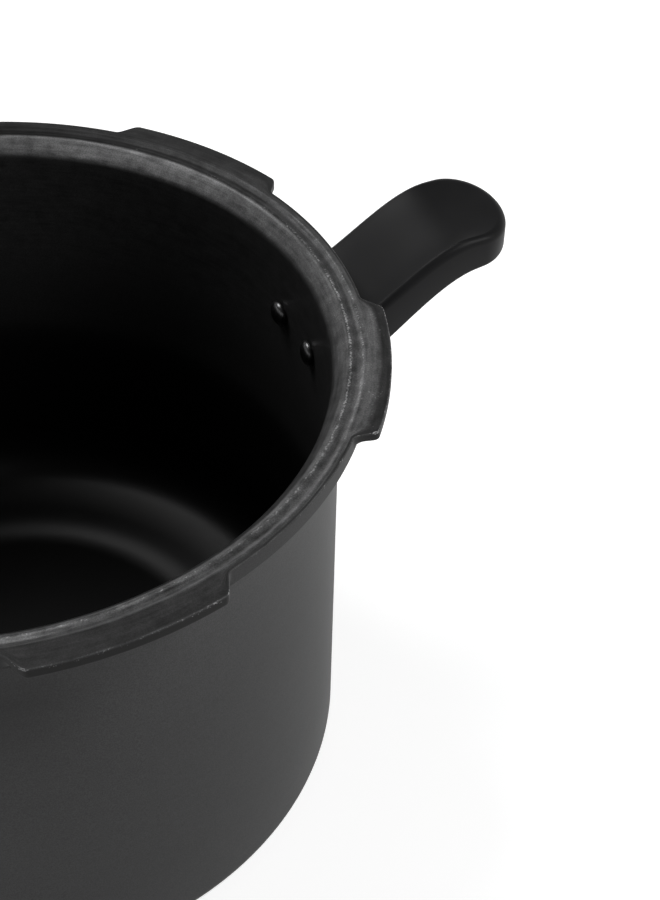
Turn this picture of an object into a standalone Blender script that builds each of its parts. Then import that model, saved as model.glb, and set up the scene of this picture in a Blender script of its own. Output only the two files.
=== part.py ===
"""Stovetop pressure cooker with an outer bayonet lid: the pot stands open, the lid lies beside it.

Metres, +Z up. The origin is the centre of the pot's flat base, and +X runs through the helper handle.
Lid pieces are placed from the lid's own centre, at the lower edge of its skirt.
"""

import math

import bmesh
import bpy
from mathutils import Matrix, Vector

# Pot
RIM_RADIUS = 0.1175
POT_HEIGHT = 0.155
WALL_OUTER = 0.1086
WALL_INNER = 0.1060
FLOOR_TOP = 0.0036
BASE_CORNER = 0.006
FLOOR_RADIUS = 0.0695
LEDGE_INNER = 0.0770
LEDGE_INNER_TOP = 0.0060
LEDGE_OUTER = 0.0820
LEDGE_TOP = 0.0066
CONE_SLOPE = math.radians(17.6)
FILLET_RADIUS = 0.0140
RIM_FACE = 0.0054

# Bayonet lugs
LUG_COUNT = 6
LUG_PHASE = math.radians(32.0)
LUG_ROOT_HALF = math.radians(15.0)
LUG_TIP_HALF = math.radians(12.7)
LUG_REACH = 0.0058
LUG_DEPTH = 0.0038
LID_LUG_REACH = 0.0059
LID_LUG_ROOT_HALF = math.radians(13.8)
LID_LUG_TIP_HALF = math.radians(12.2)

# Lid, measured up from the lower edge of its skirt
LID_AT = Vector((-0.090, 0.262, 0.0))
SKIRT_OUTER = 0.1268
SKIRT_INNER = 0.1242
SKIRT_TOP = 0.0145
CEILING = 0.0116
DOME_TOP = 0.028
LID_THICK = 0.003
VALVE_RADIUS = 0.050
UNDER_VALVE = 0.0230
OVER_VALVE = 0.0274

# Riveted joints
RIVET_HEIGHT = POT_HEIGHT - 0.0300
RIVET_ANGLE = math.radians(5.9)
RIVET_SHANK = 0.0018
RIVET_HEAD = 0.0041
RIVET_DOME = 0.0025
RIVET_TAIL = 0.0037
RIVET_TAIL_DEPTH = 0.0015
RIVET_STAND_OFF = 0.0006
RIVET_HOLE_DEPTH = 0.012
BRACKET_THICK = 0.002
BRACKET_HALF_ANGLE = math.radians(9.0)
BRACKET_HALF_HEIGHT = 0.0085
TONGUE_SLOPE = math.radians(31.0)
TONGUE_WIDTH = 0.011
TONGUE_LENGTH = 0.026
TONGUE_START = 0.1095
SCREW_ALONG_TONGUE = 0.017
TONGUE_DROP = 0.001
SCREW_TAP = 0.0021
SCREW_SHANK = 0.0018
SCREW_HEAD = 0.0034
SCREW_WELL = 0.0040
SCREW_HEAD_TOP = 0.0052
SCREW_CLEARANCE = 0.0022

# Handles
HANDLE_ROOT = 0.1135
HELPER_TIP = 0.1759
HELPER_HALF_WIDTH = 0.0180
HELPER_END_LENGTH = 0.0132
MAIN_TIP = 0.288
MAIN_HALF_WIDTH = 0.0140
MAIN_WAIST = 0.0015
HELPER_EDGE = 0.0016
LONG_EDGE = 0.0028
LONG_END_LENGTH = 0.012
LID_HANDLE_ROOT = 0.096
LID_HANDLE_TIP = 0.292
STRAP_LOW = 0.0266
STRAP_WIDTH = 0.016

HEX_SIDES = 6
HEX_ACROSS = 0.014
NUT_ACROSS = 0.017
VENT_HOLE = 0.0053
SAFETY_HOLE = 0.0060
GROMMET_HOLE = 0.0055
VENT_BORE = 0.0013
SAFETY_BORE = 0.0028
LID_RIVETS = ((-0.066, 0.0212), (-0.080, 0.0184))
LID_SCREW_X = -0.108

GAP = 0.0003
SMOOTH_ANGLE = math.radians(40)


def clear_scene():
    for thing in list(bpy.data.objects):
        bpy.data.objects.remove(thing, do_unlink=True)


def make_material(name, colour, roughness, metallic):
    material = bpy.data.materials.new(name)
    material.use_nodes = True
    shader = material.node_tree.nodes["Principled BSDF"]
    shader.inputs["Base Color"].default_value = (*colour, 1.0)
    shader.inputs["Roughness"].default_value = roughness
    shader.inputs["Metallic"].default_value = metallic
    return material


def make_object(name, bm, material, parent=None, matrix=None):
    """Turn a bmesh into an object, facing out and smooth between its sharp edges."""
    bmesh.ops.recalc_face_normals(bm, faces=bm.faces)
    mesh = bpy.data.meshes.new(name)
    bm.to_mesh(mesh)
    bm.free()
    mesh.shade_smooth()
    mesh.set_sharp_from_angle(angle=SMOOTH_ANGLE)
    if material:
        mesh.materials.append(material)
    thing = bpy.data.objects.new(name, mesh)
    bpy.context.collection.objects.link(thing)
    thing.parent = parent
    if matrix:
        thing.matrix_local = matrix
    return thing


def make_empty(name, location=(0, 0, 0), turn=0.0, parent=None):
    empty = bpy.data.objects.new(name, None)
    bpy.context.collection.objects.link(empty)
    empty.location = location
    empty.rotation_euler = (0, 0, turn)
    empty.parent = parent
    return empty


def combine(body, tool, operation="DIFFERENCE"):
    """Cut a hidden tool from a body, or join it on."""
    tool.hide_render = True
    tool.display_type = "WIRE"
    boolean = body.modifiers.new(tool.name, "BOOLEAN")
    boolean.operation = operation
    boolean.object = tool


def arc(centre, radius, start, end, steps):
    """Points (radius, height) along an arc, angles in degrees from +radius towards +height."""
    points = []
    for step in range(steps + 1):
        angle = math.radians(start + (end - start) * step / steps)
        points.append((centre[0] + radius * math.cos(angle), centre[1] + radius * math.sin(angle)))
    return points


def turned(profile, segments, ring=False):
    """Turn a profile of (radius, height) about Z. A ring's profile is a closed loop off the axis."""
    angles = [math.tau * step / segments for step in range(segments)]
    return swept([(radius, height, 0.0) for radius, height in profile], angles, lambda angle: 0.0, ring)


def swept(profile, angles, reach, ring=False):
    """Turn a profile of (radius, height, share), where each point moves out by share x reach(angle)."""
    bm = bmesh.new()
    rows = []
    for radius, height, share in profile:
        if radius < 1e-6:
            rows.append([bm.verts.new((0, 0, height))] * len(angles))
            continue
        row = []
        for angle in angles:
            out = radius + share * reach(angle)
            row.append(bm.verts.new((out * math.cos(angle), out * math.sin(angle), height)))
        rows.append(row)
    pairs = list(zip(rows, rows[1:]))
    if ring:
        pairs.append((rows[-1], rows[0]))
    for lower, upper in pairs:
        for here in range(len(angles)):
            after = (here + 1) % len(angles)
            corners = [lower[here], lower[after], upper[after], upper[here]]
            bm.faces.new(list(dict.fromkeys(corners)))
    return bm


def box(low, high):
    bm = bmesh.new()
    centre = (Vector(low) + Vector(high)) / 2
    size = Vector(high) - Vector(low)
    bmesh.ops.create_cube(bm, size=1.0, matrix=Matrix.Translation(centre) @ Matrix.Diagonal((*size, 1)))
    return bm


def rod(radius, low, high, segments=16):
    return turned([(0, low), (radius, low), (radius, high), (0, high)], segments)


def lug_reach(reach, root_half, tip_half):
    """How far a lug stands out at an angle: none past its root, all of it within its tip."""
    pitch = math.tau / LUG_COUNT

    def at(angle):
        off_centre = abs((angle - LUG_PHASE + pitch / 2) % pitch - pitch / 2)
        share = (root_half - off_centre) / (root_half - tip_half)
        return reach * min(max(share, 0.0), 1.0)

    return at


def lug_angles(root_half, tip_half):
    """Angles round the rim, with one at each corner of every lug."""
    pitch = math.tau / LUG_COUNT
    off_lug = root_half + (pitch / 2 - root_half) / 2
    inside = [-tip_half, -tip_half / 2, 0.0, tip_half / 2, tip_half]
    offsets = [-off_lug, -root_half] + inside + [root_half, off_lug, pitch / 2]
    return [LUG_PHASE + pitch * lug + offset for lug in range(LUG_COUNT) for offset in offsets]


def smoothstep(value):
    value = min(max(value, 0.0), 1.0)
    return value * value * (3 - 2 * value)


def pot_profile():
    """Base, wall, rim, inner wall and floor as (radius, height, share of the lug)."""
    top = POT_HEIGHT
    outside = [(0, 0)] + arc((WALL_OUTER - BASE_CORNER, BASE_CORNER), BASE_CORNER, -90, 0, 4)
    outside += [(WALL_OUTER, top - 0.0115), (WALL_OUTER + 0.0014, top - 0.0084)]
    outside += [(RIM_RADIUS - 0.0016, top - 0.0064), (RIM_RADIUS - 0.0004, top - RIM_FACE)]
    lug = [
        (RIM_RADIUS, top - LUG_DEPTH - 0.0004, 0),
        (RIM_RADIUS, top - LUG_DEPTH, 1),
        (RIM_RADIUS, top - 0.0008, 1),
        (RIM_RADIUS - 0.0004, top - 0.0004, 1),
    ]
    inside = [
        (RIM_RADIUS - 0.0012, top),
        (RIM_RADIUS * 0.977, top - 0.0002),
        (RIM_RADIUS * 0.9645, top - 0.0011),
        (RIM_RADIUS * 0.949, top - 0.0008),
        (RIM_RADIUS * 0.935, top - 0.0021),
        (RIM_RADIUS * 0.912, top - 0.0060),
        (WALL_INNER, top - 0.0090),
    ]
    sweep = math.pi / 2 - CONE_SLOPE
    corner = LEDGE_TOP + (WALL_INNER - LEDGE_OUTER) * math.tan(CONE_SLOPE)
    middle = WALL_INNER - FILLET_RADIUS, corner + FILLET_RADIUS * math.tan(sweep / 2)
    fillet = []
    for step in range(6):
        angle = sweep * step / 5
        fillet.append((middle[0] + FILLET_RADIUS * math.cos(angle), middle[1] - FILLET_RADIUS * math.sin(angle)))
    fillet.append((LEDGE_OUTER, LEDGE_TOP))
    floor = [(LEDGE_INNER, LEDGE_INNER_TOP), (FLOOR_RADIUS, FLOOR_TOP), (0, FLOOR_TOP)]

    def plain(points):
        return [(radius, height, 0) for radius, height in points]

    return plain(outside) + lug + plain(inside + fillet + floor)


def build_pot(steel_holes, metal):
    angles = lug_angles(LUG_ROOT_HALF, LUG_TIP_HALF)
    reach = lug_reach(LUG_REACH, LUG_ROOT_HALF, LUG_TIP_HALF)
    pot = make_object("pot_body", swept(pot_profile(), angles, reach), metal)
    for hole in steel_holes:
        combine(pot, hole)
    return pot


def rivet_matrix(side):
    """Radial axis through the wall, with local +Z towards the pot's axis."""
    turn = Matrix.Rotation(side * RIVET_ANGLE, 4, "Z")
    place = Matrix.Translation((WALL_INNER - RIVET_STAND_OFF, 0, RIVET_HEIGHT))
    return turn @ place @ Matrix.Rotation(math.radians(-90), 4, "Y")


def tongue_matrix():
    """Sloped frame of a tongue: local +X along it, origin where it leaves the plate."""
    return Matrix.Translation((TONGUE_START, 0, RIVET_HEIGHT - TONGUE_DROP)) @ Matrix.Rotation(-TONGUE_SLOPE, 4, "Y")


def build_bracket(prefix, seat, steel):
    """Riveted plate with a sloped tongue, its two rivets, its screw, and the holes that they need."""
    inner = WALL_OUTER + GAP
    outer = inner + BRACKET_THICK
    low = RIVET_HEIGHT - BRACKET_HALF_HEIGHT
    high = RIVET_HEIGHT + BRACKET_HALF_HEIGHT
    bm = bmesh.new()
    steps = 8
    rows = []
    for step in range(steps + 1):
        angle = BRACKET_HALF_ANGLE * (2 * step / steps - 1)
        corners = ((inner, low), (outer, low), (outer, high), (inner, high))
        rows.append(
            [bm.verts.new((r * math.cos(angle), r * math.sin(angle), z)) for r, z in corners]
        )
    for first, second in zip(rows, rows[1:]):
        for here in range(4):
            after = (here + 1) % 4
            bm.faces.new([first[here], first[after], second[after], second[here]])
    bm.faces.new(rows[0])
    bm.faces.new(rows[-1])
    bracket = make_object(f"{prefix}_bracket", bm, steel, seat)
    half = TONGUE_WIDTH / 2
    tongue_box = box((0, -half, -BRACKET_THICK / 2), (TONGUE_LENGTH, half, BRACKET_THICK / 2))
    tongue = make_object(f"{prefix}_tongue_tool", tongue_box, None, seat, tongue_matrix())
    combine(bracket, tongue, "UNION")

    holes = []
    shank = outer + GAP - (WALL_INNER - RIVET_STAND_OFF)
    tail_end = -shank - RIVET_TAIL_DEPTH
    for number, side in enumerate((-1, 1), 1):
        hole_bm = rod(RIVET_SHANK + GAP, -RIVET_HOLE_DEPTH, 0.002)
        hole = make_object(f"{prefix}_rivet_hole_{number}", hole_bm, None, seat, rivet_matrix(side))
        combine(bracket, hole)
        holes.append(hole)
        tail = [(0, tail_end), (RIVET_TAIL * 0.8, tail_end), (RIVET_TAIL, tail_end * 0.92), (RIVET_TAIL, -shank)]
        dome = [(RIVET_HEAD, 0.0), (RIVET_HEAD * 0.96, RIVET_DOME * 0.3), (RIVET_HEAD * 0.78, RIVET_DOME * 0.67)]
        dome += [(RIVET_HEAD * 0.45, RIVET_DOME * 0.93), (0, RIVET_DOME)]
        profile = tail + [(RIVET_SHANK, -shank), (RIVET_SHANK, 0.0)] + dome
        make_object(f"{prefix}_rivet_{number}", turned(profile, 14), steel, seat, rivet_matrix(side))

    screw_seat = tongue_matrix() @ Matrix.Translation((SCREW_ALONG_TONGUE, 0, 0))
    tap = make_object(f"{prefix}_tap_tool", rod(SCREW_TAP, -0.004, 0.004), None, seat, screw_seat)
    combine(bracket, tap)
    head = [(0, -0.0072), (SCREW_HEAD * 0.88, -0.0072), (SCREW_HEAD, -0.0066), (SCREW_HEAD, -SCREW_HEAD_TOP)]
    body = [(SCREW_SHANK, -SCREW_HEAD_TOP), (SCREW_SHANK, 0.0040), (0, 0.0046)]
    make_object(f"{prefix}_screw", turned(head + body, 16), steel, seat, screw_seat)
    return holes


def handle_bm(stations, edge):
    """Moulded grip from stations (x, half width, low, high), root first, with rounded long edges."""
    root = stations[0][0]
    length = stations[-1][0] - root
    widest = max(half for _, half, _, _ in stations)
    layers = ((edge, 0.0), (0.3 * edge, 0.3), (0.0, 1.0), (0.0, -1.0), (0.3 * edge, -0.3), (edge, 0.0))
    bm = bmesh.new()
    rows = []
    for number, (inset, lift) in enumerate(layers):
        upper = number >= len(layers) // 2
        left = []
        right = []
        for x, half, low, high in stations:
            along = x - inset * (x - root) / length
            across = half * (1 - inset / widest)
            height = (high if upper else low) + lift * edge
            left.append(bm.verts.new((along, across, height)))
            right.append(bm.verts.new((along, -across, height)))
        rows.append((left, right))
    for (left, right), (next_left, next_right) in zip(rows, rows[1:]):
        loop = left + right[::-1]
        next_loop = next_left + next_right[::-1]
        for here in range(len(loop)):
            after = (here + 1) % len(loop)
            bm.faces.new([loop[here], loop[after], next_loop[after], next_loop[here]])
    for left, right in (rows[0], rows[-1]):
        for here in range(len(left) - 1):
            bm.faces.new([left[here], left[here + 1], right[here + 1], right[here]])
    return bm


def stations_along(root, straight_end, tip, half_width, low, high, steps):
    """Even stations to straight_end, then closer ones round an elliptical end."""
    along = [(root + (straight_end - root) * step / steps, 1.0) for step in range(steps + 1)]
    for degrees in (22, 42, 60, 74, 84):
        angle = math.radians(degrees)
        along.append((straight_end + (tip - straight_end) * math.sin(angle), math.cos(angle)))
    return [(x, half_width(x) * share, low(x), high(x)) for x, share in along]


def slot_handle(handle, seat, prefix, head_low):
    """Cut a bracket's tongue slot and screw hole from a handle."""
    half = TONGUE_WIDTH / 2 + GAP
    deep = BRACKET_THICK / 2 + GAP
    slot = box((-0.01, -half, -deep), (TONGUE_LENGTH + 2 * GAP, half, deep))
    combine(handle, make_object(f"{prefix}_slot_tool", slot, None, seat, tongue_matrix()))
    screw_seat = tongue_matrix() @ Matrix.Translation((SCREW_ALONG_TONGUE, 0, 0))
    seat_height = GAP + 0.0001 - SCREW_HEAD_TOP
    well = [(0, head_low), (SCREW_WELL, head_low), (SCREW_WELL, seat_height), (SCREW_CLEARANCE, seat_height)]
    hole = turned(well + [(SCREW_CLEARANCE, 0.0050), (0, 0.0050)], 16)
    combine(handle, make_object(f"{prefix}_screw_tool", hole, None, seat, screw_seat))


def waisted(x):
    """Half width of the two long handles, which lie one above the other when the lid is locked."""
    along = min(max((x - 0.13) / 0.14, 0.0), 1.0)
    return MAIN_HALF_WIDTH - MAIN_WAIST * math.sin(math.pi * along)


def build_helper_handle(seat, phenolic):
    def high(x):
        share = (x / RIM_RADIUS - 0.92) / 0.44
        return POT_HEIGHT + RIM_RADIUS * (0.191 * smoothstep(share) - 0.175)

    def low(x):
        return high(x) - RIM_RADIUS * (0.150 - 0.134 * (x / RIM_RADIUS - 1.0))

    end = HELPER_TIP - HELPER_END_LENGTH
    stations = stations_along(HANDLE_ROOT, end, HELPER_TIP, lambda x: HELPER_HALF_WIDTH, low, high, 9)
    handle = make_object("helper_handle", handle_bm(stations, HELPER_EDGE), phenolic, seat)
    slot_handle(handle, seat, "helper", -0.020)


def build_main_handle(seat, phenolic):
    def high(x):
        return POT_HEIGHT - 0.021 + 0.014 * smoothstep((x - 0.118) / 0.022)

    def low(x):
        return high(x) - 0.019 + 0.002 * smoothstep((x - 0.15) / 0.08)

    stations = stations_along(HANDLE_ROOT, MAIN_TIP - LONG_END_LENGTH, MAIN_TIP, waisted, low, high, 16)
    handle = make_object("main_handle", handle_bm(stations, LONG_EDGE), phenolic, seat)
    slot_handle(handle, seat, "main", -0.022)


def lid_profile():
    """Skirt, shoulder and dome outside, then the same inside, as (radius, height, share of the lug)."""
    outside = [(0, DOME_TOP), (0.030, 0.0276), (0.060, 0.0262), (0.080, 0.0240), (0.088, 0.0215)]
    outside += [(0.094, 0.0178), (0.099, 0.0155), (0.1218, SKIRT_TOP), (0.1252, 0.0138)]
    outside += [(SKIRT_OUTER, 0.0118), (SKIRT_OUTER, 0.0006), (SKIRT_OUTER - 0.0006, 0.0)]
    lug = [(SKIRT_INNER, 0.0, 1), (SKIRT_INNER, 0.0028, 1), (SKIRT_INNER, 0.0032, 0)]
    inside = [(SKIRT_INNER, CEILING - 0.0004), (0.1236, CEILING), (0.0990, CEILING + 0.0006)]
    inside += [(0.0925, 0.0145), (0.0865, 0.0183), (0.0790, 0.0209), (0.0590, 0.0232), (0.030, 0.0246)]
    inside += [(0, DOME_TOP - LID_THICK)]

    def plain(points):
        return [(radius, height, 0) for radius, height in points]

    return plain(outside) + lug + plain(inside)


def valve_place(side):
    return Matrix.Translation((0, side * VALVE_RADIUS, 0))


def build_lid(seat, metal):
    angles = lug_angles(LID_LUG_ROOT_HALF, LID_LUG_TIP_HALF)
    reach = lug_reach(-LID_LUG_REACH, LID_LUG_ROOT_HALF, LID_LUG_TIP_HALF)
    lid = make_object("lid_shell", swept(lid_profile(), angles, reach), metal, seat)
    holes = [
        ("vent", VENT_HOLE, Matrix.Identity(4)),
        ("safety", SAFETY_HOLE, valve_place(1)),
        ("indicator", GROMMET_HOLE, valve_place(-1)),
    ]
    for number, (x, _) in enumerate(LID_RIVETS, 1):
        holes.append((f"strap_{number}", RIVET_SHANK + GAP, Matrix.Translation((x, 0, 0))))
    for name, radius, place in holes:
        combine(lid, make_object(f"{name}_hole_tool", rod(radius, 0.012, 0.035), None, seat, place))
    window = box((0.120, -0.014, 0.0066), (0.130, 0.014, 0.0106))
    combine(lid, make_object("release_window_tool", window, None, seat))


def build_gasket(seat, rubber):
    """Sealing ring: a flat web under the lid's ceiling with a lip that hangs inside the pot's mouth."""
    web = [(0.1236, 0.0074), (0.1236, 0.0111), (0.1010, 0.0111), (0.0996, 0.0098)]
    lip = [(0.0992, 0.0036), (0.1004, 0.0034), (0.1022, 0.0066), (0.1050, 0.0074)]
    make_object("gasket", turned(web + lip, 60, ring=True), rubber, seat)


def hexagon(across_flats, low, high):
    radius = across_flats / 2 / math.cos(math.pi / HEX_SIDES)
    return rod(radius, low, high, HEX_SIDES)


def build_nut(name, bore, low, high, metal, seat, place):
    nut = make_object(name, hexagon(NUT_ACROSS, low, high), metal, seat, place)
    combine(nut, make_object(f"{name}_bore_tool", rod(bore, low - 0.01, high + 0.01), None, seat, place))


def build_vent(seat, brass):
    """Hollow vent pipe through the lid's centre, with its nut below and a cone tip for the weight."""
    here = Matrix.Identity(4)
    stem = [(0, 0.0165), (0.0050, 0.0165), (0.0050, 0.0300), (0.0040, 0.0300), (0.0040, 0.0528)]
    stem += [(0.0026, 0.0545), (0, 0.0545)]
    pipe = make_object("vent_pipe", hexagon(HEX_ACROSS, DOME_TOP + GAP, 0.0323), brass, seat, here)
    combine(pipe, make_object("vent_stem_tool", turned(stem, 20), None, seat, here), "UNION")
    combine(pipe, make_object("vent_bore_tool", rod(VENT_BORE, 0.010, 0.060, 12), None, seat, here))
    build_nut("vent_nut", VENT_HOLE, 0.0190, 0.0246, brass, seat, here)


def build_weight(seat, metal, cap_plastic):
    """Lift-off pressure weight that rests on the vent pipe's tip, with its heat-proof cap."""
    bore_top = 0.0548
    skirt = [(0.0046, bore_top), (0.0046, 0.0365), (0.0120, 0.0365), (0.0140, 0.0385), (0.0140, 0.0600)]
    crown = [(0.0125, 0.0622), (0.0060, 0.0622), (0.0060, 0.0700), (0, 0.0700)]
    profile = [(0, bore_top)] + skirt + crown
    make_object("weight_body", turned(profile, 24), metal, seat)
    socket = [(0, 0.0704), (0.0063, 0.0704), (0.0063, 0.0626), (0.0140, 0.0626), (0.0153, 0.0640)]
    knob = [(0.0158, 0.0690), (0.0150, 0.0735), (0.0110, 0.0760), (0, 0.0768)]
    make_object("weight_cap", turned(socket + knob, 24), cap_plastic, seat)


def build_safety(seat, brass, solder):
    """Fusible plug: a hollow brass body filled with a low-melting core, held by a nut."""
    here = valve_place(1)
    stem = [(0, 0.0150), (0.0057, 0.0150), (0.0057, 0.0290), (0.0055, 0.0314), (0.0055, 0.0334)]
    stem += [(0.0045, 0.0344), (0, 0.0344)]
    plug = make_object("safety_plug", hexagon(HEX_ACROSS, OVER_VALVE, 0.0314), brass, seat, here)
    combine(plug, make_object("safety_stem_tool", turned(stem, 20), None, seat, here), "UNION")
    combine(plug, make_object("safety_bore_tool", rod(SAFETY_BORE, 0.010, 0.040), None, seat, here))
    make_object("safety_core", rod(SAFETY_BORE - GAP, 0.0160, 0.0341), solder, seat, here)
    build_nut("safety_nut", SAFETY_HOLE, 0.0172, UNDER_VALVE, brass, seat, here)


def build_indicator(seat, rubber, metal):
    """Pop-up pressure pin in a silicone grommet. Its lower flange stops it 4.7 mm up."""
    here = valve_place(-1)
    outer = [(0.0029, 0.0200), (0.0075, 0.0200), (0.0075, UNDER_VALVE), (0.0051, UNDER_VALVE)]
    upper = [(0.0051, OVER_VALVE), (0.0080, OVER_VALVE), (0.0076, 0.0292), (0.0029, 0.0294)]
    grommet = turned(outer + upper, 24, ring=True)
    make_object("indicator_grommet", grommet, rubber, seat, here)
    flange = [(0, 0.0138), (0.0044, 0.0138), (0.0044, 0.0150), (0.0025, 0.0150), (0.0025, 0.0297)]
    head = [(0.0042, 0.0297), (0.0042, 0.0312), (0.0034, 0.0319), (0, 0.0321)]
    make_object("indicator_pin", turned(flange + head, 20), metal, seat, here)


def build_lid_handle(seat, phenolic, steel):
    """Steel strap riveted to the dome, and the long grip that slides over its free end."""
    half = STRAP_WIDTH / 2
    strap_high = STRAP_LOW + BRACKET_THICK
    strap = make_object("lid_bracket", box((-0.124, -half, STRAP_LOW), (-0.060, half, strap_high)), steel, seat)
    for number, (x, under) in enumerate(LID_RIVETS, 1):
        place = Matrix.Translation((x, 0, 0))
        hole = make_object(f"strap_hole_{number}", rod(RIVET_SHANK + GAP, 0.020, 0.035), None, seat, place)
        combine(strap, hole)
        top = strap_high + GAP
        tail = [(0, under - 0.0018), (0.0035, under - 0.0018), (0.0040, under - 0.0008), (0.0040, under)]
        dome = [(RIVET_HEAD, top), (RIVET_HEAD * 0.8, top + 0.0016), (RIVET_HEAD * 0.4, top + 0.0023)]
        shank = [(RIVET_SHANK, under), (RIVET_SHANK, top)]
        profile = tail + shank + dome + [(0, top + 0.0025)]
        make_object(f"lid_rivet_{number}", turned(profile, 14), steel, seat, place)

    def drop(x):
        return smoothstep((x - 0.122) / 0.034)

    def high(x):
        return 0.0365 - 0.0165 * drop(x)

    def low(x):
        return 0.0178 - 0.0138 * drop(x)

    end = LID_HANDLE_TIP - LONG_END_LENGTH
    stations = stations_along(LID_HANDLE_ROOT, end, LID_HANDLE_TIP, waisted, low, high, 18)
    turn = Matrix.Rotation(math.pi, 4, "Z")
    handle = make_object("lid_handle", handle_bm(stations, LONG_EDGE), phenolic, seat, turn)
    slot = box((0.080, -half - GAP, STRAP_LOW - GAP), (0.1245, half + GAP, strap_high + GAP))
    combine(handle, make_object("lid_slot_tool", slot, None, seat, turn))
    screw_place = Matrix.Translation((LID_SCREW_X, 0, 0))
    tap = make_object("lid_tap_tool", rod(SCREW_CLEARANCE, 0.0215, 0.050), None, seat, screw_place)
    combine(handle, tap)
    combine(strap, tap)
    well = make_object("lid_well_tool", rod(SCREW_WELL, 0.0335, 0.050), None, seat, screw_place)
    combine(handle, well)
    shank = [(0, 0.0222), (SCREW_SHANK, 0.0226), (SCREW_SHANK, 0.0338)]
    head = [(SCREW_HEAD, 0.0338), (SCREW_HEAD, 0.0350), (SCREW_HEAD * 0.82, 0.0357), (0, 0.0360)]
    make_object("lid_screw", turned(shank + head, 16), steel, seat, screw_place)


def main():
    clear_scene()
    anodised = make_material("hard_anodised", (0.035, 0.036, 0.038), 0.42, 0.6)
    phenolic = make_material("phenolic", (0.012, 0.012, 0.013), 0.38, 0.0)
    steel = make_material("steel", (0.50, 0.50, 0.51), 0.32, 1.0)
    black_rivet = make_material("black_rivet", (0.05, 0.05, 0.05), 0.3, 0.8)
    brass = make_material("brass", (0.62, 0.48, 0.22), 0.3, 1.0)
    rubber = make_material("rubber", (0.045, 0.045, 0.048), 0.6, 0.0)
    solder = make_material("solder", (0.42, 0.43, 0.45), 0.45, 1.0)

    helper_seat = make_empty("helper_seat")
    main_seat = make_empty("main_seat", turn=math.pi)
    holes = build_bracket("helper", helper_seat, black_rivet)
    holes += build_bracket("main", main_seat, black_rivet)
    build_pot(holes, anodised)
    build_helper_handle(helper_seat, phenolic)
    build_main_handle(main_seat, phenolic)

    ring_seat = make_empty("ring_seat", LID_AT)
    lid_seat = make_empty("lid_seat", LID_AT)
    weight_seat = make_empty("weight_seat", parent=lid_seat)
    build_gasket(ring_seat, rubber)
    build_lid(lid_seat, anodised)
    build_vent(lid_seat, brass)
    build_weight(weight_seat, steel, phenolic)
    build_safety(lid_seat, brass, solder)
    build_indicator(lid_seat, rubber, steel)
    build_lid_handle(lid_seat, phenolic, steel)


main()
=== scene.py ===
"""Looks of a stovetop pressure cooker: the open pot with its handles, and its lid set down beside it.

Everything is in metres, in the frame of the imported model. Pot pieces are measured from the pot's axis and
its rim, and lid pieces from the lid's own axis and the lower edge of its skirt.
"""

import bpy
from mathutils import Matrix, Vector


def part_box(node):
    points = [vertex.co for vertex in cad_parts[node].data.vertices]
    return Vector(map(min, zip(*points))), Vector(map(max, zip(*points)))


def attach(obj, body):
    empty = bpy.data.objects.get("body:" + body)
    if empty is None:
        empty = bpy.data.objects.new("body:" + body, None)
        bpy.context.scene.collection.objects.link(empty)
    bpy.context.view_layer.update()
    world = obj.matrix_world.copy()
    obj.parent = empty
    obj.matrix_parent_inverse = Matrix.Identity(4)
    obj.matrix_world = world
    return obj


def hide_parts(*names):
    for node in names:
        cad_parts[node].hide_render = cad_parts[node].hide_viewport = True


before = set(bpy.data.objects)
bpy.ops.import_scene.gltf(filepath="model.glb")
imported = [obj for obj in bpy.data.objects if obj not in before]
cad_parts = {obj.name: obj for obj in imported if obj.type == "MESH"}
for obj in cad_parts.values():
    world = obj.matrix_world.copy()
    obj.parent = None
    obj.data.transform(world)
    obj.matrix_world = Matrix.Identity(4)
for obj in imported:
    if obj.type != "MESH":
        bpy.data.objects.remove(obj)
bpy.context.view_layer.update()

import logging
import math
from abc import ABC, abstractmethod
from collections.abc import Callable, Mapping, Sequence
from dataclasses import dataclass
from enum import Enum
from typing import Any

import bmesh
import bpy
import numpy as np
from mathutils import Matrix, Vector

log = logging.getLogger("cooker")

Point = tuple[float, float]
Point3 = tuple[float, float, float]
Profile = Sequence[Point]
Grid = np.ndarray

MM = 0.001
SHARP = 38.0  # degrees past which an edge stays sharp


class Body(Enum):
    """The rigid groups that pieces ride on."""

    POT = "pot"
    RING = "sealing_ring"
    LID = "lid"
    WEIGHT = "weight"
    INDICATOR = "indicator"


class Slot(Enum):
    """The record's material slots."""

    ANODISED = "anodised"
    PHENOLIC = "phenolic"
    BRACKET = "black_steel"
    RIVET = "rivet"
    SCREW = "screw_steel"
    GASKET = "gasket_rubber"
    BRASS = "brass"
    SOLDER = "solder"
    GROMMET = "grommet_silicone"
    WEIGHT = "weight_steel"
    CAP = "cap_plastic"
    PIN = "pin_metal"


# ------------------------------------------------------------------ shader graphs


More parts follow.
